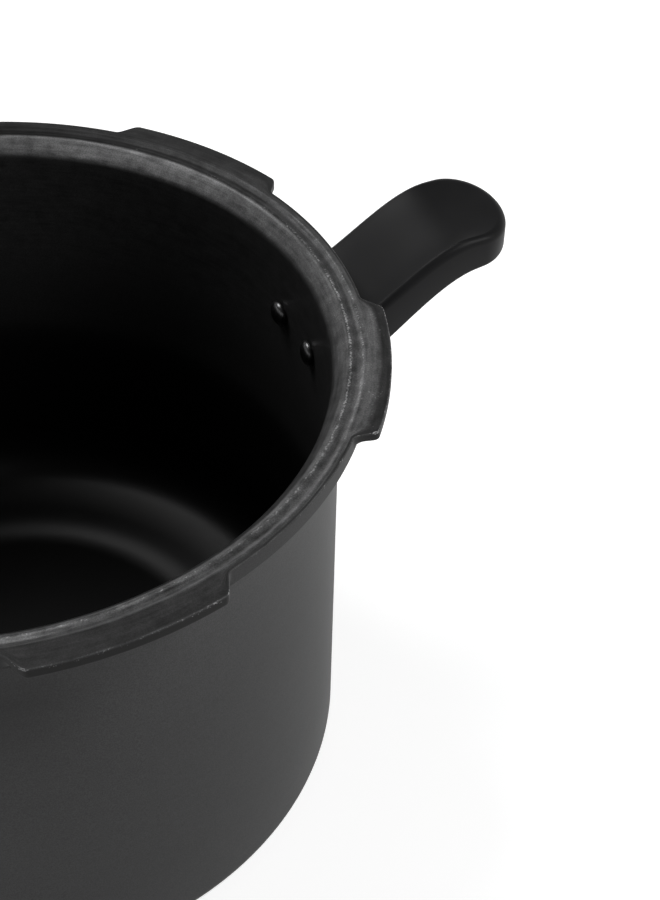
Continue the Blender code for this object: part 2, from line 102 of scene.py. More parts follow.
class Signal:
    """An output socket whose arithmetic adds Math nodes."""

    def __init__(self, graph: "Graph", socket: bpy.types.NodeSocket | None) -> None:
        """Wrap one socket of a graph."""
        self.graph = graph
        self.socket = socket

    def _math(self, operation: str, first: Any, second: Any) -> "Signal":
        """Add one Math node.

        Args:
            operation: The node's operation.
            first: The first number or signal.
            second: The second number or signal.

        Returns:
            The node's result.
        """
        return self.graph.node("ShaderNodeMath", {"operation": operation}, {0: first, 1: second})

    def __add__(self, other: Any) -> "Signal":
        """Sum."""
        return self._math("ADD", self, other)

    __radd__ = __add__

    def __sub__(self, other: Any) -> "Signal":
        """Difference."""
        return self._math("SUBTRACT", self, other)

    def __rsub__(self, other: Any) -> "Signal":
        """Difference from a number."""
        return self._math("SUBTRACT", other, self)

    def __mul__(self, other: Any) -> "Signal":
        """Product."""
        return self._math("MULTIPLY", self, other)

    __rmul__ = __mul__

    def highest(self, other: Any) -> "Signal":
        """The larger of this and another."""
        return self._math("MAXIMUM", self, other)

    def between(self, low: float, high: float) -> "Signal":
        """Rise smoothly from 0 to 1.

        Args:
            low: Where the result leaves 0.
            high: Where the result reaches 1.

        Returns:
            The smoothed share.
        """
        settings = {"interpolation_type": "SMOOTHSTEP"}
        sockets = {"Value": self, "From Min": low, "From Max": high}
        return self.graph.node("ShaderNodeMapRange", settings, sockets)


class Graph:
    """A material's or world's node tree, emptied and ready for new nodes."""

    def __init__(self, owner: bpy.types.Material | bpy.types.World) -> None:
        """Take over the tree of a material or world.

        Args:
            owner: The material or world.
        """
        owner.use_nodes = True
        self.tree = owner.node_tree
        self.tree.nodes.clear()

    def node(
        self,
        kind: str,
        settings: Mapping[str, Any] | None = None,
        sockets: Mapping[int | str, Any] | None = None,
        output: int | str = 0,
    ) -> Signal:
        """Add any node.

        Args:
            kind: The node's type name.
            settings: The node's own settings, which are set first.
            sockets: Numbers, colours or signals for its inputs, by name or number.
            output: Which output to return.

        Returns:
            The chosen output, empty for a node that has none.
        """
        made = self.tree.nodes.new(kind)
        for name, value in (settings or {}).items():
            setattr(made, name, value)
        for name, value in (sockets or {}).items():
            if isinstance(value, Signal):
                self.tree.links.new(value.socket, made.inputs[name])
            else:
                made.inputs[name].default_value = value
        return Signal(self, made.outputs[output] if len(made.outputs) else None)

    def attribute(self, name: str) -> Signal:
        """A number stored on the mesh."""
        return self.node("ShaderNodeAttribute", {"attribute_name": name}, output="Fac")

    def noise(self, scale: float, detail: float = 3.0, stretch: Point3 = (1.0, 1.0, 1.0)) -> Signal:
        """Fractal noise from 0 to 1.

        Args:
            scale: Features per metre.
            detail: Octaves.
            stretch: How much faster it changes along each axis.

        Returns:
            The noise.
        """
        place = self.node("ShaderNodeTexCoord", output="Object")
        place = self.node("ShaderNodeVectorMath", {"operation": "MULTIPLY"}, {0: place, 1: stretch})
        sockets = {"Vector": place, "Scale": scale, "Detail": detail}
        return self.node("ShaderNodeTexNoise", None, sockets, "Fac")

    def streaks(self, fineness: float, run: float, detail: float = 4.0) -> Signal:
        """Noise drawn out round the piece's axis, from 0 to 1.

        Args:
            fineness: Streaks per metre across the section.
            run: How fast they change on the way round; less is longer.
            detail: Octaves.

        Returns:
            The noise.
        """
        way = self.node("ShaderNodeAttribute", {"attribute_name": "round"}, output="Vector")
        way = self.node("ShaderNodeVectorMath", {"operation": "MULTIPLY"}, {0: way, 1: (run, run, run)})
        sockets = {"Vector": way, "W": self.attribute("path") * fineness, "Scale": 1.0, "Detail": detail}
        return self.node("ShaderNodeTexNoise", {"noise_dimensions": "4D"}, sockets, "Fac")

    def blend(self, share: Any, first: Any, second: Any) -> Signal:
        """Mix two colours.

        Args:
            share: How much of the second.
            first: The first colour.
            second: The second colour.

        Returns:
            The mixed colour.
        """
        return self.node("ShaderNodeMix", {"data_type": "RGBA"}, {0: share, 6: first, 7: second}, 2)

    def bump(self, height: Signal, depth: float, strength: float = 1.0) -> Signal:
        """A normal from a height of 0 to 1 that stands for depth metres."""
        sockets = {"Height": height, "Distance": depth, "Strength": strength}
        return self.node("ShaderNodeBump", None, sockets)


def grey(level: float) -> tuple[float, float, float, float]:
    """A neutral colour."""
    return (level, level, level, 1.0)


def tint(colour: Point3, gain: float = 1.0) -> tuple[float, float, float, float]:
    """An opaque colour, made lighter or darker."""
    return (colour[0] * gain, colour[1] * gain, colour[2] * gain, 1.0)


# ------------------------------------------------------------------ finishes


@dataclass(frozen=True)
class Finish(ABC):
    """A surface finish that makes one material.

    Attributes:
        name: The material's name.
        colour: Its base colour.
        roughness: Its mean roughness.
        metallic: How far it is bare metal.
        specular: The strength of its clear reflections.
    """

    name: str
    colour: Point3
    roughness: float
    metallic: float
    specular: float = 0.5

    @abstractmethod
    def sockets(self, graph: Graph) -> dict[str, Any]:
        """The shader inputs that this finish sets.

        Args:
            graph: The material's graph.

        Returns:
            Numbers or signals by the name of the shader's input.
        """

    def material(self) -> bpy.types.Material:
        """The finish's material, made on first use.

        Returns:
            The material.
        """
        known = bpy.data.materials.get(self.name)
        if known:
            return known
        made = bpy.data.materials.new(self.name)
        graph = Graph(made)
        values = {"Roughness": self.roughness, "Metallic": self.metallic, "Specular IOR Level": self.specular}
        values.update(self.sockets(graph))
        shader = graph.node("ShaderNodeBsdfPrincipled", None, values)
        graph.node("ShaderNodeOutputMaterial", None, {"Surface": shader})
        return made


@dataclass(frozen=True)
class HardAnodised(Finish):
    """Grey-black anodised aluminium: fine grain, streaks, and bare metal where edges have rubbed.

    It reads five numbers from the mesh: tone, its grey level; sheen, how far it shines as metal; polish,
    how much smoother it is; streak, how strong the streaks are; and wear, how far it has rubbed.

    Attributes:
        bare: The level of bare edges.
        finest: How much smoother it is where it is polished.
    """

    bare: float = 0.42
    finest: float = 0.30

    def sockets(self, graph: Graph) -> dict[str, Any]:
        """Mottle and streak the tone, rub the edges, and stipple the surface."""
        grain = graph.noise(2600.0, 3.0)
        speckle = graph.noise(1500.0, 2.0)
        lines = graph.streaks(900.0, 9.0)
        scuffs = graph.streaks(240.0, 26.0, 5.0)
        wear = graph.attribute("wear")
        polish = graph.attribute("polish")
        mottled = 0.78 + 0.44 * grain.between(0.34, 0.66)
        streaked = 1.0 + graph.attribute("streak") * ((lines + scuffs) * 1.9 - 1.9)
        level = graph.attribute("tone") * mottled * streaked.highest(0.25)
        rubbed = (wear + speckle * 1.6 + scuffs * 0.9 - 1.25).between(0.28, 0.80) * wear.between(0.0, 0.08)
        level = level + rubbed * (self.bare - level)
        height = grain * 0.7 + speckle * 0.3
        return {
            "Base Color": graph.blend(level, grey(0.0), tint(self.colour)),
            "Metallic": graph.attribute("sheen"),
            "Roughness": self.roughness + 0.10 * (grain - 0.5) - self.finest * polish,
            "Normal": graph.bump(height, 0.025 * MM, 0.5),
        }


@dataclass(frozen=True)
class Phenolic(Finish):
    """Moulded heat-proof plastic: an even satin skin with a faint orange peel and dulled patches."""

    def sockets(self, graph: Graph) -> dict[str, Any]:
        """Vary the gloss and add the peel."""
        peel = graph.noise(900.0, 3.0)
        dull_and_painted_shade = graph.noise(70.0, 4.0)
        shades = tint(self.colour, 0.85), tint(self.colour, 1.2)
        return {
            "Base Color": graph.blend(dull_and_painted_shade.between(0.3, 0.7), *shades),
            "Roughness": self.roughness + 0.12 * (dull_and_painted_shade - 0.5),
            "Normal": graph.bump(peel, 0.02 * MM, 0.5),
        }


@dataclass(frozen=True)
class TurnedMetal(Finish):
    """Metal finished on a lathe or plated: fine rings, a little tarnish.

    Attributes:
        tarnish: How much darker its tarnished patches are.
    """

    tarnish: float = 0.25

    def sockets(self, graph: Graph) -> dict[str, Any]:
        """Darken patches and cut fine rings."""
        rings = graph.noise(500.0, 2.0, (1.0, 1.0, 9.0))
        patches = graph.noise(160.0, 4.0)
        tarnished = tint(self.colour, 1 - self.tarnish)
        return {
            "Base Color": graph.blend(patches.between(0.35, 0.75), tint(self.colour), tarnished),
            "Roughness": self.roughness + 0.18 * (patches - 0.4),
            "Normal": graph.bump(rings, 0.02 * MM, 0.5),
        }


@dataclass(frozen=True)
class Rubber(Finish):
    """Moulded rubber or silicone: matt, with a light bloom."""

    def sockets(self, graph: Graph) -> dict[str, Any]:
        """Add the bloom and a fine tooth."""
        bloom = graph.noise(120.0, 5.0)
        tooth = graph.noise(1800.0, 2.0)
        return {
            "Base Color": graph.blend(bloom.between(0.4, 0.8), tint(self.colour), tint(self.colour, 1.6)),
            "Roughness": self.roughness + 0.10 * (bloom - 0.5),
            "Normal": graph.bump(tooth, 0.02 * MM, 0.6),
        }


ANODISED = HardAnodised("hard_anodised", (0.99, 0.99, 1.0), 0.55, 0.30, 0.15)
PHENOLIC = Phenolic("black_phenolic", (0.0062, 0.0062, 0.0066), 0.48, 0.0, 0.14)
CAP_PHENOLIC = Phenolic("polished_phenolic", (0.0090, 0.0090, 0.0095), 0.26, 0.0, 0.4)
COATED_STEEL = TurnedMetal("coated_steel", (0.035, 0.035, 0.037), 0.38, 0.6)
RIVET_METAL = TurnedMetal("dark_rivet", (0.120, 0.120, 0.122), 0.30, 1.0)
PLATED_STEEL = TurnedMetal("plated_steel", (0.52, 0.52, 0.53), 0.30, 1.0)
STAINLESS = TurnedMetal("stainless", (0.50, 0.49, 0.48), 0.24, 1.0, tarnish=0.12)
BRASS = TurnedMetal("turned_brass", (0.62, 0.46, 0.20), 0.30, 1.0, tarnish=0.35)
ALLOY = TurnedMetal("fusible_alloy", (0.40, 0.41, 0.43), 0.48, 1.0)
BRIGHT_PIN = TurnedMetal("bright_pin", (0.66, 0.66, 0.67), 0.22, 1.0, tarnish=0.10)
GASKET_RUBBER = Rubber("gasket_rubber", (0.030, 0.030, 0.032), 0.62, 0.0)
SILICONE = Rubber("silicone", (0.045, 0.045, 0.050), 0.50, 0.0)


# ------------------------------------------------------------------ mesh making


def smoothstep(value: float) -> float:
    """Rise smoothly from 0 at 0 to 1 at 1."""
    value = min(max(value, 0.0), 1.0)
    return value * value * (3.0 - 2.0 * value)


def rounded(points: Profile, radius: float, closed: bool = False, steps: int = 5) -> list[Point]:
    """Round an outline's corners.

    Args:
        points: The outline's corners.
        radius: The radius where there is room for it.
        closed: Whether the last point joins the first.
        steps: Segments in each corner.

    Returns:
        The rounded outline.
    """
    made: list[Point] = []
    count = len(points)
    for here, corner in enumerate(points):
        if not closed and here in (0, count - 1):
            made.append(corner)
            continue
        middle = Vector(corner)
        before = Vector(points[here - 1]) - middle
        after = Vector(points[(here + 1) % count]) - middle
        reach = radius * math.tan(max(math.pi - before.angle(after), 0.0) / 2)
        reach = min(reach, 0.45 * before.length, 0.45 * after.length)
        start = middle + before.normalized() * reach
        end = middle + after.normalized() * reach
        for step in range(steps + 1):
            along = step / steps
            spot = start.lerp(middle, along).lerp(middle.lerp(end, along), along)
            made.append((spot.x, spot.y))
    return made


def resampled(points: Profile, count: int) -> Grid:
    """Even steps along an outline.

    Args:
        points: The outline.
        count: How many points to return.

    Returns:
        Rows of (radius, height).
    """
    line = np.array(points)
    lengths = np.concatenate([[0.0], np.cumsum(np.linalg.norm(np.diff(line, axis=0), axis=1))])
    spots = np.linspace(0.0, lengths[-1], count)
    return np.stack([np.interp(spots, lengths, line[:, axis]) for axis in (0, 1)], axis=1)


def arc(centre: Point, radii: Point, start: float, end: float, steps: int) -> list[Point]:
    """Points along an ellipse's arc.

    Args:
        centre: The ellipse's centre.
        radii: Its half sizes outwards and upwards.
        start: The first angle in degrees, from outwards towards up.
        end: The last angle.
        steps: Segments.

    Returns:
        The points.
    """
    angles = [math.radians(start + (end - start) * step / steps) for step in range(steps + 1)]
    return [(centre[0] + radii[0] * math.cos(a), centre[1] + radii[1] * math.sin(a)) for a in angles]


def in_mm(points: Profile) -> list[Point]:
    """An outline given in millimetres."""
    return [(radius * MM, height * MM) for radius, height in points]


def lerp(plain: Grid, lug: Grid, share: Grid) -> Grid:
    """The way from one grid to another."""
    return plain * (1 - share) + lug * share


def band(value: Grid, low: float, high: float, soft: float) -> Grid:
    """1 between two limits, fading outside them."""
    rise = np.clip((value - low) / soft + 1, 0, 1)
    return rise * np.clip((high - value) / soft + 1, 0, 1)


def bell(value: Grid, centre: float, width: float) -> Grid:
    """1 at a centre, fading on both sides of it."""
    return np.exp(-(((value - centre) / width) ** 2))


def meshed(name: str, bm: bmesh.types.BMesh) -> bpy.types.Mesh:
    """Turn an edit mesh into a mesh, and free it.

    Args:
        name: The mesh's name.
        bm: The edit mesh.

    Returns:
        The mesh.
    """
    mesh = bpy.data.meshes.new(name)
    bm.to_mesh(mesh)
    bm.free()
    return mesh


def linked(name: str, data: bpy.types.ID) -> bpy.types.Object:
    """Put a new object in the scene.

    Args:
        name: The object's name.
        data: Its mesh, light or camera.

    Returns:
        The object.
    """
    made = bpy.data.objects.new(name, data)
    bpy.context.collection.objects.link(made)
    return made


def finished_object(
    name: str, mesh: bpy.types.Mesh, finish: Finish, sharp: float = SHARP
) -> bpy.types.Object:
    """Give a mesh its normals, shading and finish.

    Args:
        name: The piece's name.
        mesh: Its mesh.
        finish: Its finish.
        sharp: Edges sharper than this many degrees stay sharp.

    Returns:
        The piece.
    """
    bm = bmesh.new()
    bm.from_mesh(mesh)
    bmesh.ops.recalc_face_normals(bm, faces=bm.faces)
    bm.to_mesh(mesh)
    bm.free()
    mesh.shade_smooth()
    mesh.set_sharp_from_angle(angle=math.radians(sharp))
    mesh.materials.append(finish.material())
    return linked(name, mesh)


def swept(
    name: str,
    radii: Grid,
    heights: Grid,
    angles: Grid,
    finish: Finish,
    ring: bool = False,
    marks: Mapping[str, Grid] | None = None,
) -> bpy.types.Object:
    """Carry rows of points round the Z axis.

    Args:
        name: The piece's name.
        radii: Radius by row and angle. A first or last row of zeros is a pole.
        heights: Height by row and angle.
        angles: The angles, once round.
        finish: The piece's finish.
        ring: Whether the last row joins the first.
        marks: Numbers by row and angle to store on the mesh.

    Returns:
        The piece.
    """
    rows, turns = radii.shape
    x = radii * np.cos(angles)
    y = radii * np.sin(angles)
    points = np.stack([x, y, heights], axis=2).reshape(-1, 3)
    index = np.arange(rows * turns).reshape(rows, turns)
    for row in (0, rows - 1):
        if radii[row].max() < 1e-7:
            index[row] = index[row, 0]
    lower = index if ring else index[:-1]
    upper = np.roll(index, -1, axis=0) if ring else index[1:]
    corners = np.stack([lower, np.roll(lower, -1, 1), np.roll(upper, -1, 1), upper], axis=2).reshape(-1, 4)
    used, renumbered = np.unique(corners, return_inverse=True)
    faces = [list(dict.fromkeys(face)) for face in renumbered.reshape(-1, 4).tolist()]
    mesh = bpy.data.meshes.new(name)
    mesh.from_pydata(points[used].tolist(), [], faces)
    steps = np.hypot(np.diff(radii, axis=0), np.diff(heights, axis=0)).max(axis=1)
    path = np.concatenate([[0.0], np.cumsum(steps)])[:, None] * np.ones(turns)
    for mark, values in {"path": path, **(marks or {})}.items():
        layer = mesh.attributes.new(mark, "FLOAT", "POINT")
        layer.data.foreach_set("value", values.reshape(-1)[used].astype(np.float32))
    way = np.stack([np.cos(angles), np.sin(angles), np.zeros(turns)], axis=1)
    layer = mesh.attributes.new("round", "FLOAT_VECTOR", "POINT")
    layer.data.foreach_set("vector", np.tile(way, (rows, 1))[used].reshape(-1).astype(np.float32))
    return finished_object(name, mesh, finish)


def turned(
    name: str, profile: Profile, finish: Finish, segments: int = 96, ring: bool = False
) -> bpy.types.Object:
    """Turn one profile about Z.

    Args:
        name: The piece's name.
        profile: Its (radius, height) points.
        finish: Its finish.
        segments: Steps round the axis.
        ring: Whether the profile is a closed loop off the axis.

    Returns:
        The piece.
    """
    angles = np.arange(segments) * math.tau / segments
    line = np.array(profile)
    radii = np.repeat(line[:, :1], segments, axis=1)
    heights = np.repeat(line[:, 1:], segments, axis=1)
    return swept(name, radii, heights, angles, finish, ring)


def box_mesh(low: Point3, high: Point3) -> bpy.types.Object:
    """Make a plain block to cut with.

    Args:
        low: Its lowest corner.
        high: Its highest corner.

    Returns:
        The block.
    """
    bm = bmesh.new()
    centre = (Vector(low) + Vector(high)) / 2
    size = Vector(high) - Vector(low)
    bmesh.ops.create_cube(bm, size=1.0, matrix=Matrix.Translation(centre) @ Matrix.Diagonal((*size, 1.0)))
    return linked("tool", meshed("tool", bm))


def carve(piece: bpy.types.Object, tools: Sequence[bpy.types.Object]) -> None:
    """Cut tools from a piece and throw them away.

    Args:
        piece: The piece.
        tools: The cutting shapes.
    """
    for tool in tools:
        boolean = piece.modifiers.new("cut", "BOOLEAN")
        boolean.object = tool
    graph = bpy.context.evaluated_depsgraph_get()
    mesh = bpy.data.meshes.new_from_object(piece.evaluated_get(graph))
    piece.modifiers.clear()
    piece.data = mesh
    mesh.set_sharp_from_angle(angle=math.radians(SHARP))
    for tool in tools:
        bpy.data.objects.remove(tool, do_unlink=True)


# ------------------------------------------------------------------ the way a piece joins the model


class SubAssembly(ABC):
    """A group of pieces that share a place and a body.

    Attributes:
        body: The body that its pieces ride on.
    """

    body: Body

    @abstractmethod
    def build(self) -> None:
        """Make every piece and fit it to the model."""

    def fit(
        self,
        piece: bpy.types.Object,
        slot: Slot,
        nodes: Sequence[str],
        place: Matrix | None = None,
        body: Body | None = None,
    ) -> None:
        """Put a piece in place, on its body, for the nodes that it stands for.

        Args:
            piece: The piece.
            slot: The material slot that it stands for; not used.
            nodes: The nodes that it replaces.
            place: Its place in the model's frame.
            body: Its body, if not the sub-assembly's own.
        """
        if place:
            piece.data.transform(place)
        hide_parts(*nodes)
        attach(piece, (body or self.body).value)
        log.info("%s: %d faces on %s", piece.name, len(piece.data.polygons), (body or self.body).value)


# ------------------------------------------------------------------ bayonet lugs


@dataclass(frozen=True)
class LugRing:
    """Lugs evenly spaced round an edge, as shares of the way from the plain profile to the lug's.

    Attributes:
        count: How many lugs.
        phase: The first lug's centre, in degrees.
        root_half: Half a lug's width at its root, in degrees.
        tip_half: Half its width at its tip.
        softness: How round its corners are, as a share of its reach.
    """

    count: int = 6
    phase: float = 32.0
    root_half: float = 15.0
    tip_half: float = 12.9
    softness: float = 0.26

    def off_centre(self, degrees: Grid) -> Grid:
        """Degrees from the nearest lug's centre."""
        pitch = 360.0 / self.count
        return np.abs((degrees - self.phase + pitch / 2) % pitch - pitch / 2)

    def shares(self, degrees: Grid) -> Grid:
        """0 between lugs and 1 on them, with rounded corners."""
        raw = (self.root_half - self.off_centre(degrees)) / (self.root_half - self.tip_half)
        soft = self.softness
        capped = np.minimum(raw, 1.0) - np.maximum(soft - np.abs(raw - 1.0), 0.0) ** 2 / (4 * soft)
        return np.maximum(capped, 0.0) + np.maximum(soft - np.abs(capped), 0.0) ** 2 / (4 * soft)

    def corner_wear(self, degrees: Grid) -> Grid:
        """1 at a lug's end corners, fading within half a degree."""
        return bell(self.off_centre(degrees), self.tip_half + 0.2, 0.45)

    def angles(self) -> Grid:
        """Angles in degrees once round, close together at the lugs' ends."""
        pitch = 360.0 / self.count
        ends = np.arange(self.tip_half - 2.0, self.root_half + 1.2, 0.16)
        inner = np.linspace(0.0, ends[0], 9)[:-1]
        outer = np.linspace(ends[-1], pitch / 2, 11)[1:]
        half = np.concatenate([inner, ends, outer])
        sector = np.concatenate([-half[1:-1][::-1], half])
        return np.concatenate([self.phase + pitch * lug + sector for lug in range(self.count)])


def edge_wear(line: Grid, radius: float) -> Grid:
    """How exposed each point of a profile is, from how tightly the line turns outwards there.

    Args:
        line: Rows of (radius, height), with the material on the left of the way it runs.
        radius: The turning radius that counts as fully exposed.

    Returns:
        0 to 1 for each row.
    """
    steps = np.diff(line, axis=0)
    lengths = np.maximum(np.linalg.norm(steps, axis=1), 1e-7)
    heading = np.unwrap(np.arctan2(steps[:, 1], steps[:, 0]))
    turn = np.diff(heading) / (0.5 * (lengths[1:] + lengths[:-1]))
    return np.clip(np.concatenate([[0.0], turn * radius, [0.0]]), 0.0, 1.0)


# ------------------------------------------------------------------ the pot

# Rows of points along the rim's outer face, round its top corner, and across the edge of its top.
FACE_ROWS = 40
CORNER_ROWS = 11
TOP_ROWS = 13
EDGE_ROWS = FACE_ROWS + CORNER_ROWS + TOP_ROWS

# The neck under the rim and the rim's underside: out from the wall or in from the rim, and down from the
# top, in millimetres.
NECK = ((0.0, 12.0), (0.15, 10.4), (0.7, 9.0), (2.0, 7.8), (4.2, 6.9))
RIM_UNDERSIDE = ((2.4, 6.3), (0.9, 5.95), (0.25, 5.7))

# The beads and groove of the rim's top: the share of the rim's radius, and millimetres above the top.
BEADS = (
    (0.9855, -0.06), (0.982, -0.10), (0.9795, -0.18), (0.977, -0.36), (0.973, -0.76),
    (0.9685, -1.02), (0.9635, -1.10), (0.9585, -1.03), (0.954, -0.90), (0.951, -0.84), (0.9485, -0.83),
)

# The lip that slopes in from them: its steps, their length, and its slope in degrees by step.
LIP_STEPS = 30
LIP_STRIDE = 0.30 * MM
LIP_SLOPES = ((0, 7, 20, 30), (0, 42, 55, 90))

# Grey levels from the inner wall out to the rim, by share of the rim's radius.
LIP_SHARES = (0.902, 0.920, 0.935, 0.9485, 0.9560, 0.9635, 0.970, 0.977, 0.981, 0.985)
LIP_TONES = (0.080, 0.088, 0.085, 0.110, 0.085, 0.060, 0.070, 0.100, 0.080, 0.022)

# Where the rub, and the painted light and shade, change round the pot, as a middle and a spread, in degrees
# of bearing.
RUBBED_SIDE = (-26.0, 34.0)
# A painted highlight on the lip.
PAINTED_HIGHLIGHT_LIP = (46.0, 26.0)
# Painted shade on the lip, on the near side and on the far side.
PAINTED_SHADE_NEAR_LIP = (-98.0, 24.0)
PAINTED_SHADE_FAR_LIP = (100.0, 36.0)
# A painted shadow of a lug, on the wall below it.
PAINTED_SHADOW_SIDE = (-104.0, 13.0)
# Painted light on the side of the inner wall that the light reaches.
PAINTED_LIGHT_INNER_SIDE = (26.0, 60.0)

# The same up and down, in millimetres below the rim, and across the lip, in shares of the rim's radius.
# Painted light on the outer wall just under the rim.
PAINTED_LIGHT_UNDER_RIM = (0.0, 34.0)
# How far down the wall the painted shadow of the lug reaches.
PAINTED_SHADOW_DROP = (28.0, 26.0)
# A lighter ring on the inner wall, at the foot of its painted light.
INNER_RING = (75.0, 5.0)
# Painted shade along the crest, on the far side.
LIP_FOLD = (0.9475, 0.006)


class Zones:
    """The parts of the pot's section and the sides of the pot, as grids by row or by angle.

    Attributes:
        radius: Shares of the rim's radius.
        drop: Millimetres below the top.
        rows: Row numbers.
        corner: The first row of the rim's top corner.
        bearing: Degrees about the axis, from -180 to 180.
        rubbed: 1 on the side that has rubbed most.
        far: 1 on the side at 90 degrees and 0 opposite.
        outside: Whether a row is on the base or wall.
        inside: Whether it is within the rim's top.
        lip: 1 on the beads and the sloped lip.
        beads: 1 on the beads and the groove.
        crest: 1 along the inner bead.
        ridge: 1 along the outer bead.
        top_face: 1 on the flat of the rim's top.
        outer_edge: 1 along the rim's top corner.
    """

    def __init__(self, radius: Grid, drop: Grid, degrees: Grid, start: int) -> None:
        """Find them all.

        Args:
            radius: Shares of the rim's radius, row by row.
            drop: Millimetres below the top, row by row.
            degrees: The angles.
            start: The first row of the rim's outer face.
        """
        end = start + EDGE_ROWS
        self.radius, self.drop = radius, drop
        self.rows = np.arange(len(drop), dtype=float)[:, None]
        self.corner = start + FACE_ROWS
        self.bearing = (degrees[None, :] + 180.0) % 360.0 - 180.0
        self.rubbed = bell(self.bearing, *RUBBED_SIDE)
        self.far = 0.5 + 0.5 * np.sin(np.radians(self.bearing))
        self.outside = self.rows < start
        self.inside = self.rows > end
        rim = (self.rows >= start) & (drop < 9.0)
        self.lip = band(drop, -1.0, 5.0, 2.0) * (self.rows >= end)
        self.beads = band(radius, 0.9440, 0.9820, 0.006) * self.lip
        self.crest = band(radius, 0.9465, 0.9500, 0.003) * rim
        self.ridge = band(radius, 0.9770, 0.9800, 0.002) * rim
        self.top_face = band(self.rows, self.corner + 6.0, end + 1.0, 4.0)
        self.outer_edge = band(self.rows, self.corner - 1.0, self.corner + 7.0, 2.0)


@dataclass
class Pot(SubAssembly):
    """The drawn pot: base, wall, thickened rim with lugs, and ringed floor.

    Attributes:
        rim_radius: The rim's outer radius.
        wall_outer: The wall's outer radius.
        wall_inner: The wall's inner radius.
        rim_face: The height of the rim's outer face.
        lug_reach: How far a lug stands out.
        lug_drop: How far below the rim a lug's underside is.
        floor_top: The height of the floor's flat middle.
        floor_radius: The radius of that middle.
        ledge_inner: The radius and height of the inner edge of the ledge round it.
        ledge_outer: The same for the outer edge.
        bowl_slopes: The slopes, in degrees, at which the curve up from the ledge starts and meets the fillet.
        bowl_radius: The radius of that curve.
        wall_tone: The grey level of the outside.
        inner_tone: The grey level of the inner wall and floor at the wall's top; painted shade darkens it
            with depth.
        flat: The grey level of the rim's top.
        corner_tone: The grey level of the rim's top corner.
        neck_tone: The grey level of the neck under the rim.
        face_tones: The grey level of the rim's outer face between lugs and on them.
        lugs: Where the lugs are.
    """

    rim_radius: float = 117.5 * MM
    wall_outer: float = 108.6 * MM
    wall_inner: float = 106.0 * MM
    rim_face: float = 5.4 * MM
    lug_reach: float = 5.8 * MM
    lug_drop: float = 3.8 * MM
    floor_top: float = 3.6 * MM
    floor_radius: float = 69.5 * MM
    ledge_inner: Point = (76.4 * MM, 5.7 * MM)
    ledge_outer: Point = (82.0 * MM, 6.6 * MM)
    bowl_slopes: Point = (8.5, 21.0)
    bowl_radius: float = 55.0 * MM
    wall_tone: float = 0.043
    inner_tone: float = 0.022
    flat: float = 0.020
    corner_tone: float = 0.060
    neck_tone: float = 0.024
    face_tones: Point = (0.030, 0.004)
    lugs: LugRing = LugRing()
    body: Body = Body.POT

    def __post_init__(self) -> None:
        """Read the pot's height from the model."""
        self.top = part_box("pot_body")[1][2]

    def _outside(self) -> list[Point]:
        """Base, wall and the underside of the rim."""
        rim, wall, top = self.rim_radius, self.wall_outer, self.top
        corner = 6.0 * MM
        points = [(0.0, 0.0), (0.030, 0.0), (0.060, 0.0), (0.090, 0.0)]
        points += arc((wall - corner, corner), (corner, corner), -90.0, 0.0, 10)
        points += [(wall, top * share) for share in (0.2, 0.4, 0.6, 0.8)]
        points += [(wall + out * MM, top - drop * MM) for out, drop in NECK]
        return points + [(rim - inset * MM, top - drop * MM) for inset, drop in RIM_UNDERSIDE]

    def _edges(self) -> tuple[Grid, Grid]:
        """The rim's outer face, top corner and edge of its top, plain and on a lug, row for row."""
        rim, top, reach, bend = self.rim_radius, self.top, self.lug_reach, 0.5 * MM
        start = (rim, top - self.rim_face)
        end = (rim - 1.4 * MM, top - 0.05 * MM)
        under, over = top - self.lug_drop, top - 0.35 * MM
        sections = []
        for out, high, route in ((rim, top, []), (rim + reach, over, [(rim, under), (rim + reach, under)])):
            face = rounded([start, *route, (out, high - bend)], 0.5 * MM)
            corner = arc((out - bend, high - bend), (bend, bend), 0.0, 90.0, CORNER_ROWS - 1)
            flat = resampled([corner[-1], end], TOP_ROWS + 1)[1:]
            sections.append(np.concatenate([resampled(face, FACE_ROWS + 1)[:-1], corner, flat]))
        return sections[0], sections[1]

    def _inside(self) -> list[Point]:
        """The rim's two beads and groove, the sloped lip, the inner wall, and the floor with its ledge."""
        rim, wall, top, middle = self.rim_radius, self.wall_inner, self.top, self.floor_top
        points = [(rim * share, top + rise * MM) for share, rise in BEADS]
        for step in range(LIP_STEPS):
            slope = math.radians(np.interp(step + 0.5, *LIP_SLOPES))
            radius, height = points[-1]
            radius = max(radius - LIP_STRIDE * math.cos(slope), wall)
            points.append((radius, height - LIP_STRIDE * math.sin(slope)))
        points += [(wall, top - (11.0 + step * 5.0) * MM) for step in range(24)]
        low, high = (math.radians(slope) for slope in self.bowl_slopes)
        bowl = [self.ledge_outer]
        bowl += self._curve(bowl[-1], self.bowl_radius, low, high, 12)
        fillet = (wall - bowl[-1][0]) / (1 - math.sin(high))
        bowl += self._curve(bowl[-1], fillet, high, math.pi / 2, 14)
        points += reversed(bowl[1:])
        flat = [(self.floor_radius, middle), (52.0 * MM, middle)]
        floor = [bowl[1], self.ledge_outer, self.ledge_inner, *flat]
        points += rounded(floor, 45.0 * MM, steps=8)[1:]
        return points + [(radius * MM, middle) for radius in (38, 26, 14, 6, 0)]

    @staticmethod
    def _curve(start: Point, radius: float, low: float, high: float, steps: int) -> list[Point]:
        """An arc that climbs outwards from one slope to another.

        Args:
            start: Where it starts.
            radius: Its radius.
            low: The slope where it starts, in radians.
            high: The slope where it ends.
            steps: Its segments.

        Returns:
            Its points after the start.
        """
        made = []
        for step in range(1, steps + 1):
            slope = low + (high - low) * step / steps
            across = radius * (math.sin(slope) - math.sin(low))
            made.append((start[0] + across, start[1] + radius * (math.cos(low) - math.cos(slope))))
        return made

